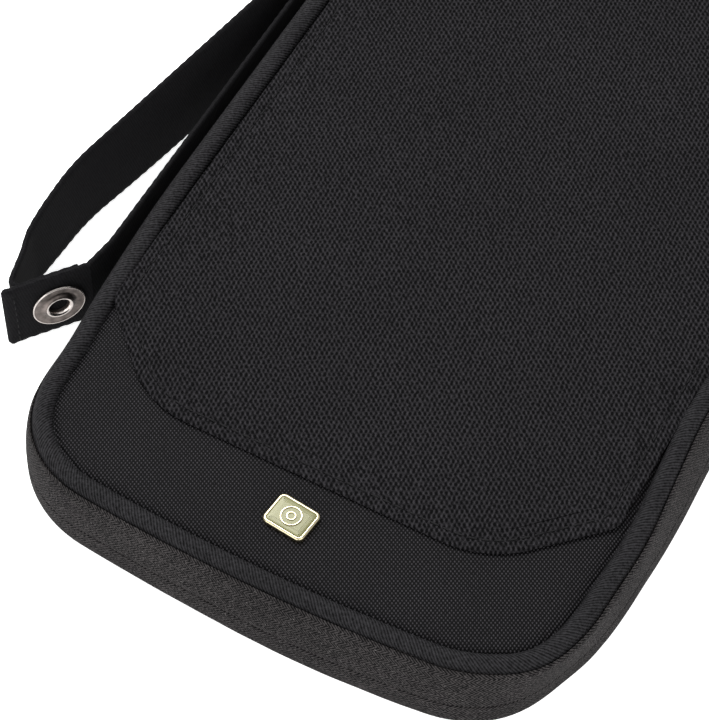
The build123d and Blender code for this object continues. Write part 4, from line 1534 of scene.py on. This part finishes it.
FLOOR_SIZE = 6.0
FLOOR_GAP = 0.05 * MM  # between the floor and what stands on it
SKY_STRENGTH = 0.66
LIGHTS = (  # name, place, power in watts, size
    ("key", (-0.55, 0.35, 0.95), 13.0, 0.6),
    ("fill", (0.75, -0.45, 0.7), 4.0, 0.9),
    ("front", (-0.2, -0.95, 0.55), 3.8, 0.8),
)
LIGHT_AIM = Vector((0, -0.05, 0.01))
CAMERA_TURN, CAMERA_FALL = math.radians(28.8), math.radians(55.3)
CAMERA_DISTANCE = 648.75 * MM
CAMERA_AIM = Vector((0, -58.0, 20.0)) * MM
CAMERA_LEFT, CAMERA_UP = 6.99 * MM, 2.6 * MM
LENS, SENSOR = 151.465, 36.0


class WALLET_OT_stage(bpy.types.Operator):
    """Adds the floor, the lights and the camera."""

    bl_idname = "wallet.stage"
    bl_label = "Stage"

    def execute(self, context):
        bpy.ops.object.select_all(action="DESELECT")
        bpy.ops.mesh.primitive_plane_add(size=FLOOR_SIZE, location=(0, 0, -FLOOR_GAP))
        floor = context.active_object
        floor.name = "floor"
        bpy.ops.object.transform_apply(location=True, rotation=False, scale=False)
        floor.data.materials.append(finish("floor"))
        world = bpy.data.worlds.new("studio")
        context.scene.world = world
        world.use_nodes = True
        sky = world.node_tree.nodes["Background"].inputs
        sky["Color"].default_value = (1, 1, 1, 1)
        sky["Strength"].default_value = SKY_STRENGTH
        for name, place, power, wide in LIGHTS:
            bpy.ops.object.light_add(type="AREA", location=place)
            light = context.active_object
            light.name = name
            light.data.energy = power
            light.data.size = wide
            aim = LIGHT_AIM - Vector(place)
            light.rotation_euler = aim.to_track_quat("-Z", "Y").to_euler()
        self.camera(context)
        return {"FINISHED"}

    def camera(self, context):
        turn, fall = CAMERA_TURN, CAMERA_FALL
        right = Vector((math.cos(turn), math.sin(turn), 0))
        ahead = Vector((-math.sin(turn), math.cos(turn), 0))
        look = ahead * math.cos(fall) - Vector((0, 0, math.sin(fall)))
        up = ahead * math.sin(fall) + Vector((0, 0, math.cos(fall)))
        place = CAMERA_AIM - right * CAMERA_LEFT + up * CAMERA_UP - look * CAMERA_DISTANCE
        bpy.ops.object.camera_add()
        camera = context.active_object
        axes = Matrix((right, up, -look)).transposed()
        camera.matrix_world = Matrix.Translation(place) @ axes.to_4x4()
        camera.data.sensor_width = SENSOR
        camera.data.lens = LENS
        camera.data.clip_start = 0.01
        context.scene.camera = camera
        context.scene.view_settings.view_transform = "Standard"


CLASSES = [
    WalletSizes, WalletColours, WALLET_OT_stage, WALLET_OT_covers, WALLET_OT_piping,
    WALLET_OT_zip_wall, WALLET_OT_mesh_panel, WALLET_OT_badge, WALLET_OT_strap, WALLET_OT_press_stud,
    WALLET_OT_sliders, WALLET_OT_coils, WALLET_OT_inside, WALLET_OT_core,
]


class WALLET_PT_panel(bpy.types.Panel):
    """Lists the wallet's sizes, colours and pieces."""

    bl_label = "Travel wallet"
    bl_idname = "WALLET_PT_panel"
    bl_space_type = "VIEW_3D"
    bl_region_type = "UI"
    bl_category = "Wallet"

    def draw(self, context):
        for group in (context.scene.wallet_sizes, context.scene.wallet_colours):
            for name in group.__annotations__:
                self.layout.prop(group, name)
        for cls in CLASSES:
            if issubclass(cls, bpy.types.Operator):
                self.layout.operator(cls.bl_idname)


def register():
    for cls in [*CLASSES, WALLET_PT_panel]:
        bpy.utils.register_class(cls)
    bpy.types.Scene.wallet_sizes = PointerProperty(type=WalletSizes)
    bpy.types.Scene.wallet_colours = PointerProperty(type=WalletColours)


def unregister():
    del bpy.types.Scene.wallet_colours
    del bpy.types.Scene.wallet_sizes
    for cls in reversed([*CLASSES, WALLET_PT_panel]):
        bpy.utils.unregister_class(cls)


def main():
    register()
    for cls in CLASSES:
        if issubclass(cls, bpy.types.Operator):
            group, name = cls.bl_idname.split(".")
            getattr(getattr(bpy.ops, group), name)()


if __name__ == "__main__":
    main()
